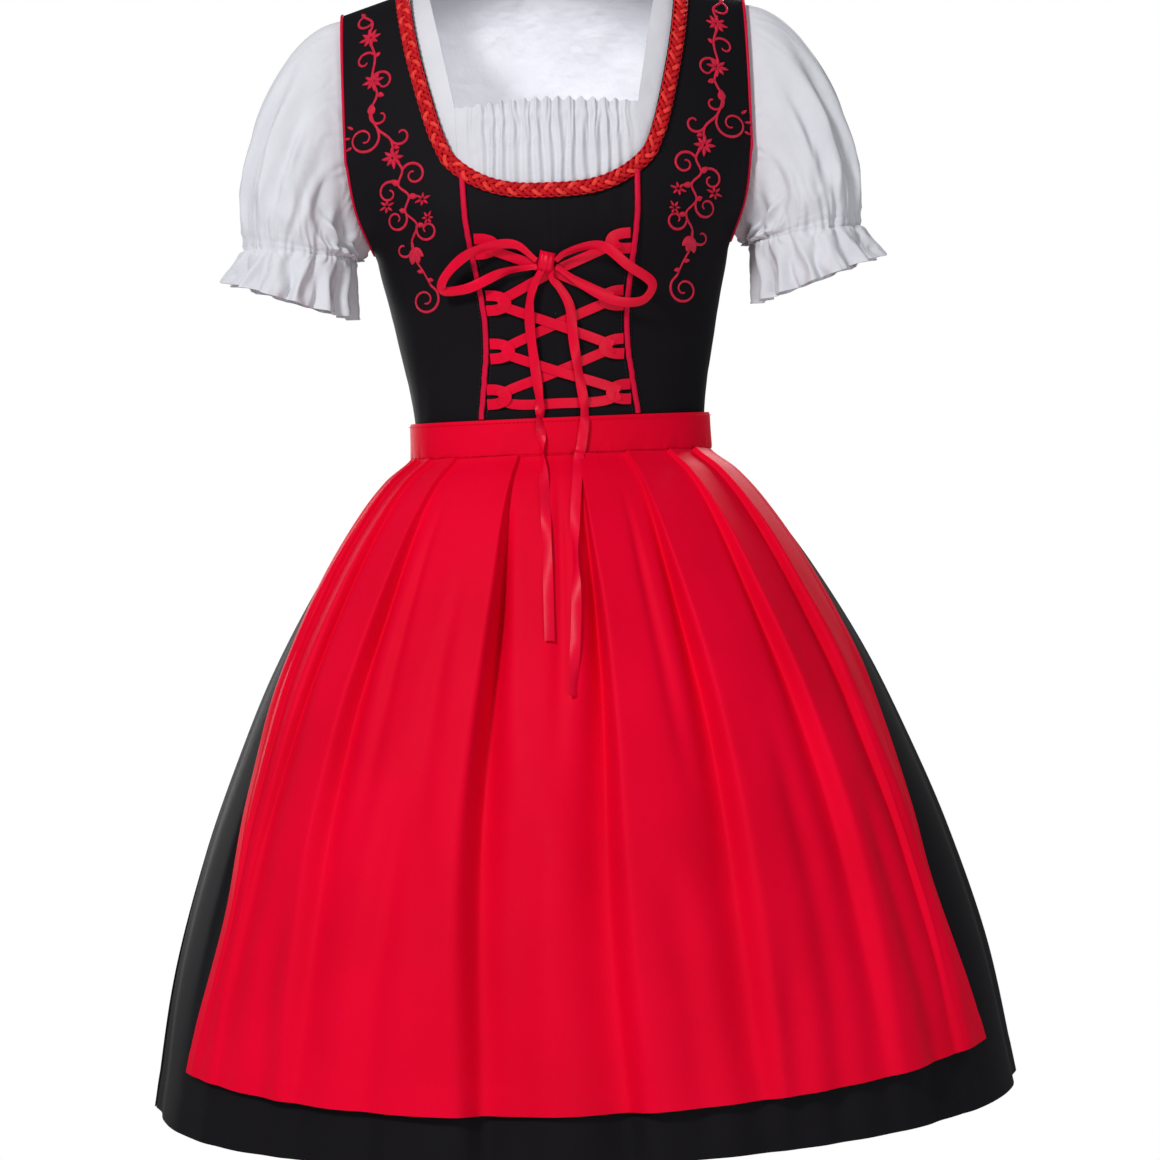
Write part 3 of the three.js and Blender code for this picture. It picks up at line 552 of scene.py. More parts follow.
# Apron
apronSet = {"cols": 340, "rows": 138, "hemCentre": -567.0, "hemSide": -553.0, "innerAngle": 56.0,
            "topAngle": 77.0, "crowd": 5.0, "crowdWide": 1.3}


def apronColumns():  # angles at the band, closer together where a pleat's edge lies
    fine = np.linspace(-apronSet["topAngle"], apronSet["topAngle"], 3000)
    density = np.ones_like(fine)
    for at, _, _ in apronPleats:
        density += apronSet["crowd"] * bell(fine, at, apronSet["crowdWide"])
    share = np.cumsum(density)
    return np.interp(np.linspace(share[0], share[-1], apronSet["cols"]), share, fine)[None, :]


def apronGrid():
    t = np.linspace(1, 0, apronSet["rows"])[:, None]
    atBand = apronColumns()
    nominal = mix(-bandHeight - 0.4, apronSet["hemCentre"], t**1.15)
    edge = readTable(apronEdge, nominal, "angle")
    # the columns past the inner angle are drawn in toward the apron's side edge
    inner = apronSet["innerAngle"]
    past = np.maximum(np.abs(atBand) - inner, 0)
    wide = np.minimum(np.abs(atBand), inner) + past * (edge - inner) / (apronSet["topAngle"] - inner)
    angle = np.sign(atBand) * wide
    hem = mix(apronSet["hemCentre"], apronSet["hemSide"], (angle / edge)**2)
    h = mix(-bandHeight - 0.4, hem, t**1.15)
    lift = apronFold(atBand, h, panelFold)
    valley = apronValley(angle, h) * ease(edge, edge - 6, wide)
    tiny = 0.5 * softNoise(angle / 9, h / 120, 41) * ease(-60, -200, h)
    # the hem and the side hems are doubled: they stand out a little
    doubled = 0.5 * ease(22, 20.5, h - hem) + 0.5 * ease(edge - 2.6, edge - 2.2, wide)
    gathers = 0.35 * softNoise(angle / 3.5, h / 60, 43) * np.exp((h + bandHeight) / 16)
    out = apronLift + lift + 1.2 - valley + tiny + doubled + gathers
    grid, _ = surfaceAt(skirtSurface, np.radians(angle), h, np.maximum(out, 2.2 - valley))
    return grid


clothPiece("apron_panel", apronGrid(), 1.2, "apron")


def waistStrip(node, start, end, top, bottom, cols):
    h = np.linspace(bottom, top, 18)[:, None]
    theta = np.radians(np.linspace(start, end, cols))[None, :]
    lower, _ = surfaceAt(skirtSurface, theta, bottom, apronLift)
    upper, _ = surfaceAt(bodySurface, theta, max(top, waistSeam + 1), apronLift)
    t = (h - bottom) / (top - bottom)
    grid = mix(lower, upper, t[..., None])
    edge = np.exp(-(h - bottom) / 1.2) + np.exp(-(top - h) / 1.2)
    ripple = 0.25 * np.cos(theta * 40 + 2 * softNoise(theta * 5, h / 30, 51)) * ease(0.6, 0, t)
    outward = grid * np.array([1, 1, 0])
    outward /= np.linalg.norm(outward, axis=-1, keepdims=True)
    grid = grid + outward * (ripple - 0.7 * edge + 0.4)[..., None]
    clothPiece(node, grid, 1.2, "apron")


waistStrip("apron_waistband", -96, 96, 0, -bandHeight, 240)
waistStrip("apron_tie_right", 96.4, 177.6, -2, -34, 100)
waistStrip("apron_tie_left", -177.6, -96.4, -2, -34, 100)
print("apron ready")


# Strips of ribbon and tie that lie over the garment
def stripGrid(route, spot, width, steps, crown, turn, seed, pinch):
    points, normals = spot(*curveThrough(route, steps).T)
    t = np.linspace(0, 1, steps)
    roll = turn * softNoise(t * steps / 28, 0 * t, seed)
    normals = normals * np.cos(roll)[:, None] + pathSides(points, normals) * np.sin(roll)[:, None]
    # pinch: the share of the width left at the start and, for a loop, at its end
    wide = width * (pinch[0] + (1 - pinch[0]) * ease(0, 0.2, t)) * (pinch[1] + (1 - pinch[1]) * ease(1, 0.8, t))
    s = np.linspace(-0.5, 0.5, 11)
    crease = 0.22 * np.cos(s * 26) * (wide < 0.8 * width)[:, None]
    out = crown * (1 - (2 * s)**2) * (wide / width)[:, None] + crease
    return carry(points, normals, np.stack([wide[:, None] * s, out], -1))[:, ::-1]


stripKinds = {"ribbon": (garmentSpot, 0.5, "satinRibbon", "ribbon"),
              "cloth": (backSpot, 1.0, "redCloth", "apron_cloth")}


def strip(node, kind, route, width, steps, crown=0.2, mirror=False, turn=0.0, seed=1,
          pinch=(1, 1)):
    spot, wall, material, slotName = stripKinds[kind]
    grid = stripGrid(route, spot, width, steps, crown, turn, seed, pinch)
    if mirror:
        grid = mirrorGrid(grid)
    piece = dress(thicken(gridMesh(f"{node}_{kind}", grid), wall), look[material], [node])


knotSets = {
    "bow_knot": {"route": [[-8, 125, 4.8], [-7.2, 128, 8.8], [-6, 133.5, 10.6], [-4.8, 139, 8.8], [-4, 142, 4.8]],
                 "rows": 40, "cols": 22, "half": 6.8, "fall": 3.2, "crease": 0.5, "rate": 9, "wall": 1.6},
    "apron_tie_knot": {"route": [[0, -40, 4], [0, -32, 10], [0, -20, 13], [0, -8, 10], [0, 0, 4]],
                       "rows": 50, "cols": 30, "half": 14, "fall": 5, "crease": 0.9, "rate": 10, "wall": 2.4},
}


def knot(node, kind):  # a short wrap, tall in the middle: out = -fall s^4 + crease cos(rate s) (1 - s^2)
    spot, _, material, slotName = stripKinds[kind]
    k = knotSets[node]
    points, normals = spot(*curveThrough(k["route"], k["rows"]).T)
    s = np.linspace(-1, 1, k["cols"])
    out = -k["fall"] * s**4 + k["crease"] * np.cos(s * k["rate"]) * (1 - s * s)
    grid = carry(points, normals, np.stack([s * k["half"], out], -1))[:, ::-1]
    dress(thicken(gridMesh(f"{node}_{kind}", grid), k["wall"]), look[material], [node])


lacingRows = [149.0, 101.0, 59.5, 20.0]
loopReach = 14.0
ribbonSet = {"width": 8.6, "loopWidth": 9.2}


def seamAt(h):
    return float(frontInner(np.array(h)))


def lacing():
    for i, h in enumerate(lacingRows):
        x = seamAt(h)
        route = [[x - 3.4, h + 6.5, 1.2], [x - 12, h + 6, 2.6], [x - 19, h + 3.5, 3.8], [x - 21, h, 4.0],
                 [x - 19, h - 3.5, 3.8], [x - 12, h - 6, 2.6], [x - 3.4, h - 6.5, 1.2]]
        for hand in ("right", "left"):
            node = f"lacing_loop_{i + 1}_{hand}"
            strip(node, "ribbon", route, ribbonSet["loopWidth"], 40,
                  mirror=hand == "left")
    for row in range(3):
        high, low = lacingRows[row], lacingRows[row + 1]
        a, b = seamAt(high) - loopReach, seamAt(low) - loopReach
        for kind, lift, mirror in (("under", 1.3, True), ("over", 2.9, False)):
            route = [[-a, high - 1, 4.6], [-a + 11, high - 6, lift + 0.3], [0, (high + low) / 2, lift],
                     [b - 11, low + 6, lift + 0.3], [b, low + 1, 4.6]]
            node = f"lacing_{kind}_{row + 1}"
            strip(node, "ribbon", route, ribbonSet["width"], 60,
                  mirror=mirror, turn=0.12, seed=row + 3)
    last = lacingRows[-1]
    reach = seamAt(last) - loopReach
    bar = [[-reach, last - 2, 4.4], [-reach + 12, last - 7, 1.6], [0, last - 8, 1.3],
           [reach - 12, last - 7, 1.6], [reach, last - 2, 4.4]]
    strip("lacing_bar", "ribbon", bar, ribbonSet["width"], 60)


lacing()

bowRoutes = {
    "bow_loop_right": [[2, 135, 7], [10, 141, 8], [40, 147, 13], [60, 132, 16], [79, 115, 14],
                       [72, 101, 12], [52, 100, 11], [26, 113, 8], [2, 130, 6]],
    "bow_loop_left": [[-14, 136, 7], [-32, 150, 9], [-68, 146, 13], [-88, 128, 14], [-91, 117, 12],
                      [-74, 116, 9], [-41, 128, 7], [-14, 131, 6]],
    "bow_tail_left": [[-10, 128, 6.4], [-14, 121, 5.6], [-20, 107, 5.2], [-22, 85, 5], [-19.5, 49, 5],
                      [-16.5, 16, 5], [-16.5, 2, 4.6], [-16, -36, 3.2], [-15, -100, 3.4], [-16, -190, 3.2]],
    "bow_tail_right": [[-3, 128, 6.6], [-2, 120.5, 6], [4, 113, 5.4], [12, 97, 5.2], [14, 70, 5], [18, 34, 5],
                       [21, 11, 5], [21, 1, 4.8], [15, -38, 4.6], [9, -93, 3.8], [7, -165, 3.6], [1, -235, 3.4]],
}


def bow():
    for node, route in bowRoutes.items():
        steps = 140 if "tail" in node else 90
        strip(node, "ribbon", route, ribbonSet["width"], steps, crown=0.6,
              turn=0.75, seed=len(node) + steps, pinch=(0.6, 1) if "tail" in node else (0.5, 0.5))
    knot("bow_knot", "ribbon")


bow()
print("lacing ready")


# Apron ties at the back
tieRoutes = {  # route, width, pinch at both ends
    "apron_tie_loop": ([[12, -8, 5], [45, 0, 14], [80, -9, 20], [98, -29, 15], [80, -43, 10],
                        [46, -29, 8], [12, -22, 5]], 24, (0.6, 0.6)),
    "apron_tie_end": ([[6, -36, 7], [18, -47, 5], [28, -68, 6.5], [44, -150, 16],
                       [52, -260, 20], [58, -400, 22]], 30, (0.6, 1)),
}


def backTies():
    for name, (route, width, pinch) in tieRoutes.items():
        for hand in ("right", "left"):
            strip(f"{name}_{hand}", "cloth", route, width, 120, crown=2.0,
                  mirror=hand == "left", pinch=pinch)
    knot("apron_tie_knot", "cloth")


backTies()


# Piping: round cords in bias cloth
def cordPieces(name, points, normals, halfWidth, halfHeight, count):  # one on the right, mirrored on the left
    grid = carry(points, normals, roundSection(count, halfWidth, halfHeight))
    for hand, flip in (("right", 1.0), ("left", -1.0)):
        piece = closeEnds(gridMesh(f"{name}_{hand}_cord", grid * np.array([flip, 1.0, 1.0]), closedAcross=True))
        dress(piece, look["pipingCloth"], [f"{name}_{hand}"])


def armholeSpot(t, back, grow, out):  # t runs 0 to 1 from the underarm up to the shoulder
    lowPart = 0.4
    low = underarm - grow + (chestTop - underarm + grow) * (np.minimum(t, lowPart) / lowPart)**1.4
    high = shoulderRow(90 * np.clip((t - lowPart) / (1 - lowPart), 0, 1))
    h = np.where(t < lowPart, low, high)
    angle = armholeAngle(h, grow)
    return surfaceAt(bodySurface, np.where(back, math.pi - angle, angle), np.minimum(h, shoulderTop - 0.01), out)


def piping():
    h = np.linspace(1, neckMeet - 10, 90)
    wobble = 0.25 * softNoise(h / 14, 0 * h, 61)
    points, normals = bodySpot(frontInner(h) + wobble, h, 1.7)
    cordPieces("front_piping", points, normals, 2.5, 1.5, 14)
    for side in ("front", "back"):
        t = np.linspace(0.004, 0.996, 110)
        points, normals = armholeSpot(t, side == "back", -1.2, 0.1)
        cordPieces(f"armhole_piping_{side}", points, normals, 1.5, 1.3, 10)


piping()


# Neck braid: three strands plaited flat along the neckline, between two thin edge cords; one strand is coloured
# lighter as a painted highlight on the strand tops
braidSet = {"width": 13.0, "pitch": 20.0, "strand": 1.95, "strandHigh": 1.25, "lift": 1.9,
            "edge": 0.8, "edgeWave": 0.35, "frontSteps": 620, "backSteps": 380}


def neckLine(back, count):  # even points along the neckline, their normals, their sides away from the neck
    if back:
        flat = np.linspace(0, 70, 16)
        bottom = np.stack([flat, backBottom + (backMeet - backBottom) * (flat / backX)**3], -1)
        levels = np.concatenate([[backMeet, 325, 336, 348], shoulderRow(np.array([62, 68, 74, 80, 85, 89.6]))])
        rows = backNeckRows
    else:
        flat = np.linspace(0, 75, 18)
        bottom = np.stack([flat, neckHeight(flat)], -1)
        levels = np.concatenate([[226], shoulderRow(np.arange(0, 85, 7)), shoulderRow(np.array([89.6]))])
        rows = neckRows
    upper = np.stack([readTable(rows, levels, "x"), levels], -1)
    half = np.vstack([bottom, upper])
    full = np.vstack([half[1:][::-1] * np.array([-1, 1]), half])
    angle = bodyAngle(full[:, 0], full[:, 1])
    points, normals = surfaceAt(bodySurface, math.pi - angle if back else angle, full[:, 1], 0.6)
    length = pathLength(points)
    at = np.linspace(0, length[-1], count)
    even, normal = readPath(at, length, points), readPath(at, length, normals)
    for _ in range(6):
        even[1:-1] = (even[:-2] + 2 * even[1:-1] + even[2:]) / 4
        normal[1:-1] = (normal[:-2] + 2 * normal[1:-1] + normal[2:]) / 4
    normal /= np.linalg.norm(normal, axis=-1, keepdims=True)
    side = pathSides(even, normal)
    away = np.sign((side * np.stack([even[:, 0], 0 * at, np.full_like(at, -200.0)], -1)).sum(-1))
    return even, normal, side * away[:, None], at


def braid():
    # strand k: phase = 2 pi at / pitch + k 2 pi / 3, across = middle + swing sin(phase),
    # height = lift + 1.1 sin(2 phase)
    for back in (False, True):
        where = "back" if back else "front"
        even, normal, side, at = neckLine(back, braidSet[f"{where}Steps"])
        middle = braidSet["width"] / 2
        swing = middle - braidSet["strand"] - braidSet["edge"]
        strands = []
        for k in range(3):
            phase = at * 2 * math.pi / braidSet["pitch"] + k * 2 * math.pi / 3
            height = braidSet["lift"] + 1.1 * np.sin(2 * phase)
            points = even + side * (middle + swing * np.sin(phase))[:, None] + normal * height[:, None]
            strands.append(carry(points, normal, roundSection(10, braidSet["strand"], braidSet["strandHigh"])))
        for across in (braidSet["edge"], braidSet["width"] - braidSet["edge"]):
            wave = braidSet["edgeWave"] * np.sin(at * 6 * math.pi / braidSet["pitch"])
            points = even + side * (across + wave)[:, None] + normal * 1.0
            strands.append(carry(points, normal, roundSection(8, braidSet["edge"], 0.9)))
        darkStrands = [np.stack(strands[:2]), np.stack(strands[3:])]
        dark = closeEnds(gridMesh(f"neck_braid_{where}_plait", darkStrands, closedAcross=True))
        # the third strand gets the lighter colour, a painted highlight where light would catch the strand tops
        light = closeEnds(gridMesh(f"neck_braid_{where}_painted_highlight_strand", strands[2], closedAcross=True))
        dress(dark, look["braidCord"], [f"neck_braid_{where}"])
        dress(light, look["braidPaintedHighlight"])


braid()
print("trims ready")


# Embroidery: a stem with curls, star flowers, leaves and buds in satin stitch, the same on both side fronts
vine = [[157, 371], [150, 362], [153, 348], [148, 327], [151, 306], [147, 291], [153, 276], [148, 259], [136, 246],
        [134, 231], [127, 219], [131, 206], [122, 196], [126, 183], [116, 171], [122, 157], [120, 143],
        [113, 131], [107, 119]]
curls = [  # start x, start h, centre x, centre h, turns; the sign of turns is the direction
    (150, 362, 157, 367, 0.9), (149, 330, 157, 325, -0.8), (151, 308, 142, 301, 0.8), (153, 276, 145, 270, -0.8),
    (148, 259, 161, 251, 1.35), (136, 246, 127, 250, -0.8), (127, 219, 117, 214, 1.2), (131, 206, 140, 200, -1.1),
    (126, 183, 135, 177, 1.2), (116, 171, 107, 166, -1.2), (122, 157, 130, 152, 0.9), (107, 119, 113, 107, 1.45),
]
flowers = [  # x, h, petal length, petals
    (152, 347, 10.0, 8), (150, 304, 10.0, 8), (135, 230, 10.0, 8),
    (143, 189, 7.0, 6), (110, 192, 7.0, 6), (106, 176, 6.0, 6),
]
leaves = [  # base x, base h, direction in degrees, length, half width
    (153, 272, 95, 11, 3.6), (147, 291, 205, 7, 2.4), (148, 327, 150, 6, 2.0), (170, 262, 40, 7, 1.4),
    (173, 254, 5, 7, 1.4), (172, 245, -25, 7, 1.4), (131, 206, 40, 8, 2.6), (122, 196, 190, 8, 2.6),
    (126, 183, 20, 6, 2.2), (121, 152, 250, 14, 3.6), (121, 152, 278, 14.5, 3.8), (121, 152, 222, 12, 3.2),
    (113, 131, 10, 6, 1.9), (110, 124, 190, 6, 1.9), (116, 171, 190, 7, 2.2), (157, 371, 60, 6, 1.9),
    (134, 240, 200, 6, 1.9),
]
embroiderySet = {"stem": 1.25, "high": 0.7, "petalHigh": 1.1, "lift": 0.25}


def stemBlock(route, steps, taper):
    path = curveThrough(route, steps)
    points, normals = bodySpot(path[:, 0], path[:, 1], embroiderySet["lift"])
    t = np.linspace(0, math.pi, 5)
    thin = 1 - taper * np.linspace(0, 1, steps)**2
    profile = np.stack([np.cos(t) * embroiderySet["stem"], np.sin(t) * embroiderySet["high"]], -1)
    return carry(points, normals, profile * thin[:, None, None])[:, ::-1]


def curlRoute(x, h, cx, ch, turns):  # spiral inwards: radius r0 (1 - 0.78 t), angle a0 + 2 pi turns t
    r0, a0 = math.hypot(x - cx, h - ch), math.atan2(h - ch, x - cx)
    t = np.linspace(0, 1, 16)
    radius = r0 * (1 - 0.78 * t)
    angle = a0 + 2 * math.pi * turns * t
    return np.stack([cx + radius * np.cos(angle), ch + radius * np.sin(angle)], -1)


def petalBlock(petals):  # rows of (x, h, direction, length, half width): lens shapes, domed across
    x, h, turn, length, wide = (np.array(petals, float)[:, k][:, None, None] for k in range(5))
    t = np.linspace(0, 1, 11)[None, :, None]
    s = np.linspace(-1, 1, 7)[None, None, :]
    along = t * length
    across = s * wide * np.sin(math.pi * t**0.8)**0.75
    c, d = np.cos(np.radians(turn)), np.sin(np.radians(turn))
    px, ph = x + along * c - across * d, h + along * d + across * c
    dome = embroiderySet["lift"] + embroiderySet["petalHigh"] * (1 - s * s) * np.sin(math.pi * t)**0.4
    points, _ = bodySpot(px, ph, dome)
    return points


def embroidery():
    blocks = [stemBlock(vine, 300, 0.2)[None], np.stack([stemBlock(curlRoute(*curl), 44, 0.35) for curl in curls])]
    petals = list(leaves)
    for x, h, size, count in flowers:
        for a in np.arange(count) * 360 / count + size * 40:
            c, d = math.cos(math.radians(a)), math.sin(math.radians(a))
            petals.append((x + 0.9 * c, h + 0.9 * d, a, size * (0.85 + 0.15 * math.sin(3 * a)), size * 0.17))
    blocks.append(petalBlock(petals))
    for hand in ("right", "left"):
        placed = blocks if hand == "right" else [mirrorGrid(block) for block in blocks]
        dress(gridMesh(f"embroidery_{hand}", placed), look["stitchSilk"])


embroidery()


# Topstitching: short raised threads along a line, each a half-round of 5 by 4 points
def stitchBlock(points, normals, stitch=2.4, gap=1.4, thick=0.28):
    length = pathLength(points)
    starts = np.arange(0, length[-1] - stitch, stitch + gap)
    t = np.linspace(0, 1, 4)[None, :]
    at = (starts[:, None] + t * stitch).ravel()
    p, n = readPath(at, length, points), readPath(at, length, normals)
    n /= np.linalg.norm(n, axis=-1, keepdims=True)
    arch = np.array([0.0, 0.8, 0.8, 0.0])
    turn = np.linspace(0, math.pi, 5)
    rise = (np.tile(arch, len(starts))[:, None] + np.sin(turn)[None, :]) * thick
    grid = carry(p, n, np.stack(np.broadcast_arrays(np.cos(turn) * thick, rise), -1))
    return grid.reshape(len(starts), 4, 5, 3)[:, :, ::-1]


def lineOn(surface, theta, h, out):
    points, normals = surfaceAt(surface, theta, h, out)
    return stitchBlock(points, normals)


def topstitching():
    t = np.linspace(0, 1, 400)
    span = np.radians(mix(-95, 95, t))
    band = [lineOn(bodySurface, span, 0 * t - 2.6, apronLift + 1.35),
            lineOn(skirtSurface, span, 0 * t - bandHeight + 2.6, apronLift + 1.3)]
    dress(gridMesh("waistband_stitches", band), look["redCloth"])
    h = np.linspace(waistSeam + 2, underarm - 4, 300)
    seams = [lineOn(bodySurface, bodyAngle(frontInner(h) + offset, h), h, 0.15) for offset in (4.16, -4.16)]
    seams += [mirrorGrid(seam) for seam in seams]
    dress(gridMesh("bodice_stitches", seams), look["blackThread"])


topstitching()


# Blouse
blouseSet = {"hem": 90.0, "ruffleTop": 267.0, "half": 80.0, "grow": 9, "gathers": 16, "sideRows": 5,
             "sideCols": 36, "centreRows": 58, "centreCols": 280, "backRows": 6, "backCols": 120}


def blouseInner(h):
    top = blouseSet["ruffleTop"]
    return np.where(h < top, blouseSet["half"], mix(blouseSet["half"], 103, (h - top) / (shoulderTop - top)))


def blouse():
    stops = [blouseSet["hem"], 141, 148, 154, 163, 180, 205, 232, 250, blouseSet["ruffleTop"],
             *shoulderRow(np.array([26, 40, 56, 72, 89.8]))]
    h = denseRows(stops, blouseSet["sideRows"])[:, None]
    u = np.linspace(0, 1, blouseSet["sideCols"])[None, :]
    theta = mix(bodyAngle(blouseInner(h), h), sideAngle(h, blouseSet["grow"]), u)
    soft = -0.5 * np.clip(softNoise(u * 3, h / 60, 71), 0, 1)
    side, _ = surfaceAt(bodySurface, theta, h + 0 * u, -blouseDepth + soft)
    side = seamClear(side, True)
    for hand, grid in (("right", side), ("left", mirrorGrid(side))):
        clothPiece(f"blouse_side_front_{hand}", grid, 1.0, "blouse")

    # gathered centre front: uneven gathers, pinched by a line of elastic below the frilled top edge
    t = np.linspace(0, 1, blouseSet["centreRows"])[:, None]
    level = mix(blouseSet["hem"], blouseSet["ruffleTop"], t**0.8)
    v = np.linspace(0, 1, blouseSet["centreCols"])[None, :]
    x = mix(-blouseSet["half"] + 0.05, blouseSet["half"] - 0.05, v)
    shift = 0.045 * softNoise(v * 5, level / 90, 73)
    wave = 0.5 - 0.5 * np.cos((v + shift * 0.25) * blouseSet["gathers"] * 2 * math.pi)
    pinch = 1 - 0.62 * bell(level, 256, 3.2)
    ends = np.minimum(1, np.minimum(6 * v, 6 - 6 * v))
    deep = 2.9 * ease(150, 215, level) * pinch * ends
    fine = 0.55 * np.cos(v * 71 * math.pi + 3 * softNoise(v * 6, level / 40, 75)) * ease(225, 250, level) * ends
    flare = 1.6 * ease(257, 267, level) * ends
    out = -blouseDepth - deep * wave + fine + flare - 0.3
    centre, _ = bodySpot(x, level + 0 * v, out)
    centre[..., 2] += 1.6 * np.cos(v * blouseSet["gathers"] * 2 * math.pi) * ease(258, 267, level) * ends
    clothPiece("blouse_centre_front", centre, 0.9, "blouse")

    backStops = [blouseSet["hem"], 141, 148, 154, 163, 180, 205, 232,
                 *shoulderRow(np.array([14, 32, 48, 62, 76, 89.8]))]
    hb = denseRows(backStops, blouseSet["backRows"])[:, None]
    w = np.linspace(0, 1, blouseSet["backCols"])[None, :]
    edge = math.pi - sideAngle(hb, blouseSet["grow"])
    theta = mix(edge, 2 * math.pi - edge, w)
    half = readTable(torso, np.minimum(hb, chestTop), "half")
    across = np.minimum(1, np.abs(half * np.sin(theta)) / 103)
    turned = np.degrees(np.arcsin(np.clip((hb - chestTop) / (shoulderTop - chestTop), 0, 1)))
    level = np.where(hb > chestTop, shoulderRow(turned * mix(0.74, 1, across**3)), hb)
    soft = -1.2 * np.clip(softNoise(w * 5, hb / 120, 77), 0, 1) * ease(360, 300, hb)
    back, _ = surfaceAt(bodySurface, theta, level, -blouseDepth - 0.6 + soft)
    back = seamClear(back, False)
    clothPiece("blouse_back", back, 1.0, "blouse")


blouse()

sleeveSet = {"gathers": 14, "cols": 238, "rows": 62, "frillRows": 24, "elastic": 2.0, "puff": 2.4, "frill": 5.5}
cuffRing = {"x": 227, "y": -3, "z": 155.0, "rx": 49.5, "ry": 53, "tilt": 5.5}
frillRing = {"x": 237.0, "y": -5, "z": 114, "rx": 56.5, "ry": 60, "tilt": 19}


def ringPoint(ring, a):
    return np.stack([ring["x"] - ring["rx"] * np.cos(a), ring["y"] - ring["ry"] * np.sin(a),
                     ring["z"] - ring["tilt"] * np.cos(a)], -1)


def sleeveGrid():
    # cubic curves from the armhole to the elastic ring, then straight to the frill's edge
    a = np.linspace(0, 2 * math.pi, sleeveSet["cols"], endpoint=False)[None, :]
    up, front = -np.cos(a), np.sin(a)
    half = np.where(a < math.pi, a / math.pi, 2 - a / math.pi)
    radial = np.stack([-np.cos(a), -np.sin(a), 0 * a], -1)
    under, _ = armholeSpot(half, a > math.pi, 6, -blouseDepth)
    start, _ = armholeSpot(half, a > math.pi, -7.5, -blouseDepth)
    cuff, edge = ringPoint(cuffRing, a), ringPoint(frillRing, a)
    leave = start + np.stack([34 + 27 * up, -14 * front, -6 - 2 * up], -1)
    arrive = cuff + np.stack([5 * up, -10 * front, 45 + 44 * up - 9 * up * up], -1)
    t = np.concatenate([np.linspace(0, 1, sleeveSet["rows"]), np.linspace(1.03, 2, sleeveSet["frillRows"])])
    t = t[:, None, None]
    q = np.minimum(t, 1)
    curve = (1 - q)**3 * start + 3 * q * (1 - q)**2 * leave + 3 * q * q * (1 - q) * arrive + q**3 * cuff
    past = np.maximum(t - 1, 0)
    grid = curve + (edge - cuff) * past
    flat = t[..., 0]
    beyond = past[..., 0]
    wobble = 0.35 * softNoise(a * 1.6, flat * 1.4, 81)
    ripple = np.cos((a + wobble * 0.22) * sleeveSet["gathers"])
    swell = sleeveSet["puff"] * ease(0.2, 0.6, flat)
    swell = np.where(flat > 1, mix(sleeveSet["elastic"], sleeveSet["frill"], beyond), swell)
    # the elastic is a shirred zone: three shallow rings pull the cloth in, with fine gathers across them
    elastic = bell(flat, 0.98, 0.06)
    rings = 0.8 * np.cos((flat - 0.98) * 130) * elastic
    nearGathers = bell(flat, 1, 0.22) + np.exp(-flat / 0.12) * ease(0.02, 0.08, flat)
    fine = np.cos(a * 41 + 4 * softNoise(a * 2, flat * 2, 83)) * nearGathers
    # long soft folds that start at the gathers, cross the puff and fade, then crumples near the elastic
    long = 3.9 * np.clip(softNoise(a * 1.5 + 0.25 * flat, flat * 0.5, 85), -1, 1)
    long *= ease(0.12, 0.4, flat) * ease(1.0, 0.75, flat)
    crumple = 3.1 * (0.5 - np.abs(softNoise(a * 2.0 - flat * 1.5, flat * 3.4, 87)))
    crumple *= ease(0.45, 0.75, flat) * ease(1.0, 0.86, flat)
    # and slanting folds on the side next to the body
    inner = 2.6 * np.cos(a * 9 + flat * 16 + 2 * softNoise(a, flat * 2, 89)) * ease(0.2, 0.9, np.cos(a))
    inner *= ease(0.3, 0.6, flat) * ease(1.0, 0.8, flat)
    hemWave = 0.9 * np.cos(a * 33 + 3 * softNoise(a * 3, flat, 91)) * beyond**2
    out = ripple * swell * (1 - 0.35 * elastic) + fine + long + crumple + inner + rings - 2.2 * elastic + hemWave
    grid = grid + radial * out[..., None]
    first = np.repeat(under, 2, axis=0)
    first[1] = mix(under[0], start[0], 0.6)
    grid = np.concatenate([first, grid], axis=0)
    return grid[::-1]


def sleeves():
    grid = sleeveGrid()
    for hand, placed in (("right", grid), ("left", mirrorGrid(grid))):
        clothPiece(f"blouse_sleeve_{hand}", placed, 0.9, "blouse",
                   closedAcross=True)


sleeves()
print("blouse ready")


# Camera, light and floor
cameraSet = {"distance": 2.7, "level": -0.405, "aim": (0.012, 0.0, -0.5315), "lens": 93.1, "roll": 2.4}


def setCamera():
    data = bpy.data.cameras.new("camera")
    data.lens = cameraSet["lens"]
    data.sensor_width = 36
    data.clip_end = 50
    camera = bpy.data.objects.new("camera", data)
    bpy.context.scene.collection.objects.link(camera)
    place = Vector((0.0, -cameraSet["distance"], cameraSet["level"]))
    aim = Vector(cameraSet["aim"])
    turn = (aim - place).to_track_quat("-Z", "Y").to_matrix().to_4x4()
    roll = Matrix.Rotation(math.radians(-cameraSet["roll"]), 4, "Z")
    camera.matrix_world = Matrix.Translation(place) @ turn @ roll
    bpy.context.scene.camera = camera


def softLight(name, place, aim, size, power):
    data = bpy.data.lights.new(name, "AREA")
    data.shape = "RECTANGLE"
    data.size, data.size_y = size
    data.energy = power
    light = bpy.data.objects.new(name, data)
    light.location = place
    light.rotation_euler = (Vector(aim) - Vector(place)).to_track_quat("-Z", "Y").to_euler()
    light.visible_camera = False
    bpy.context.scene.collection.objects.link(light)
    return light


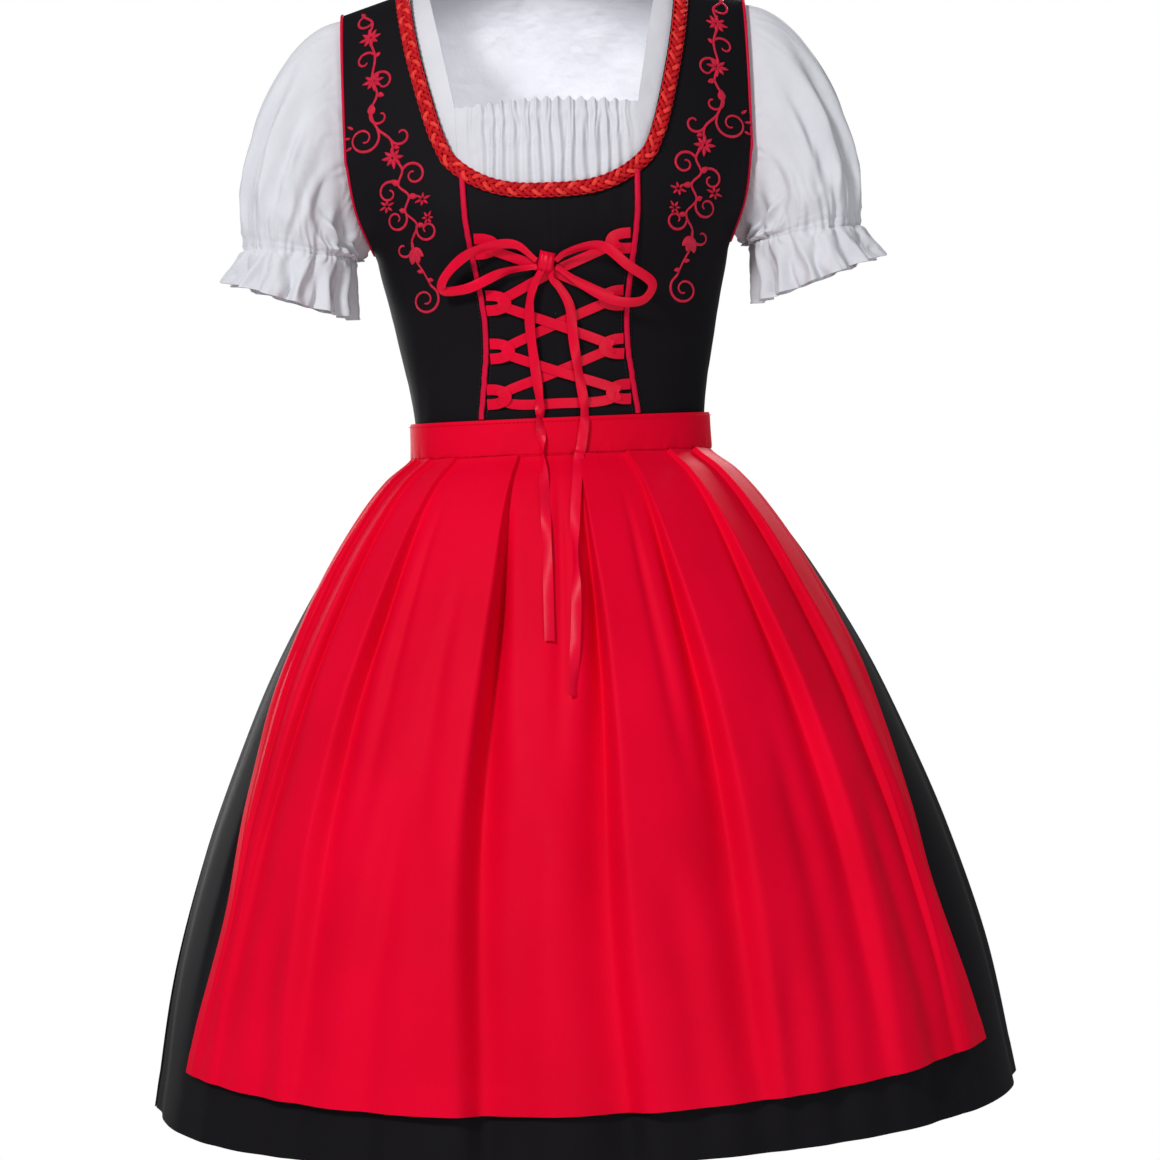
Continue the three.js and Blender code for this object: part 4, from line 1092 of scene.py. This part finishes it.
floorSet = {"level": -1.5, "radius": 1.6, "rings": 12, "spokes": 96}
lightRows = {  # place, aim, size, power
    "key": ((-1.5, -2.5, 1.5), (0, 0, -0.5), (0.5, 0.5), 78),
    "fill": ((1.3, -2.7, -0.8), (0, 0, -0.3), (1.2, 1.2), 17),
    "neckOpening": ((0, -0.25, 0.22), (0, 0.1, -0.08), (0.22, 0.12), 2.4),
    "backLeft": ((1.2, 2.8, 1.3), (0, 0, -0.5), (1.0, 1.0), 85),
    "backRight": ((-1.6, 2.6, -0.3), (0, 0, -0.5), (1.2, 1.2), 36),
}


def studio():
    # pale round floor below the garment, and a white surround that only sees the camera at full strength
    ring = np.linspace(0, floorSet["radius"] * 1000, floorSet["rings"])[:, None]
    a = np.linspace(0, 2 * math.pi, floorSet["spokes"] + 1)[None, :-1]
    level = 0 * ring * a + floorSet["level"] * 1000 + shoulderTop
    disc = np.stack([ring * np.cos(a), ring * np.sin(a), level], -1)
    floor = gridMesh("studio_floor", disc[:, ::-1], closedAcross=True)
    floor.data.materials.append(newMaterial("studioPaper", (0.9, 0.9, 0.91), 0.9, 0.3))
    bpy.context.scene.view_settings.view_transform = "Standard"
    world = bpy.data.worlds.new("studio")
    bpy.context.scene.world = world
    world.use_nodes = True
    tree = world.node_tree
    soft = tree.nodes["Background"]
    soft.inputs["Color"].default_value = (0.96, 0.97, 1, 1)
    soft.inputs["Strength"].default_value = 0.3
    white = tree.nodes.new("ShaderNodeBackground")
    white.inputs["Color"].default_value = (1, 1, 1, 1)
    rays = tree.nodes.new("ShaderNodeLightPath")
    choose = tree.nodes.new("ShaderNodeMixShader")
    wire(tree, rays, "Is Camera Ray", choose, 0)
    wire(tree, soft, "Background", choose, 1)
    wire(tree, white, "Background", choose, 2)
    wire(tree, choose, "Shader", tree.nodes["World Output"], "Surface")
    lights = {name: softLight(name, *row) for name, row in lightRows.items()}
    # the small lamp over the neck opening reaches only the blouse's back, which else lies in shadow
    reached = bpy.data.collections.new("neck_light_reaches")
    reached.objects.link(bpy.data.objects["blouse_back_cloth"])
    lights["neckOpening"].light_linking.receiver_collection = reached


setCamera()
studio()
print("studio ready")
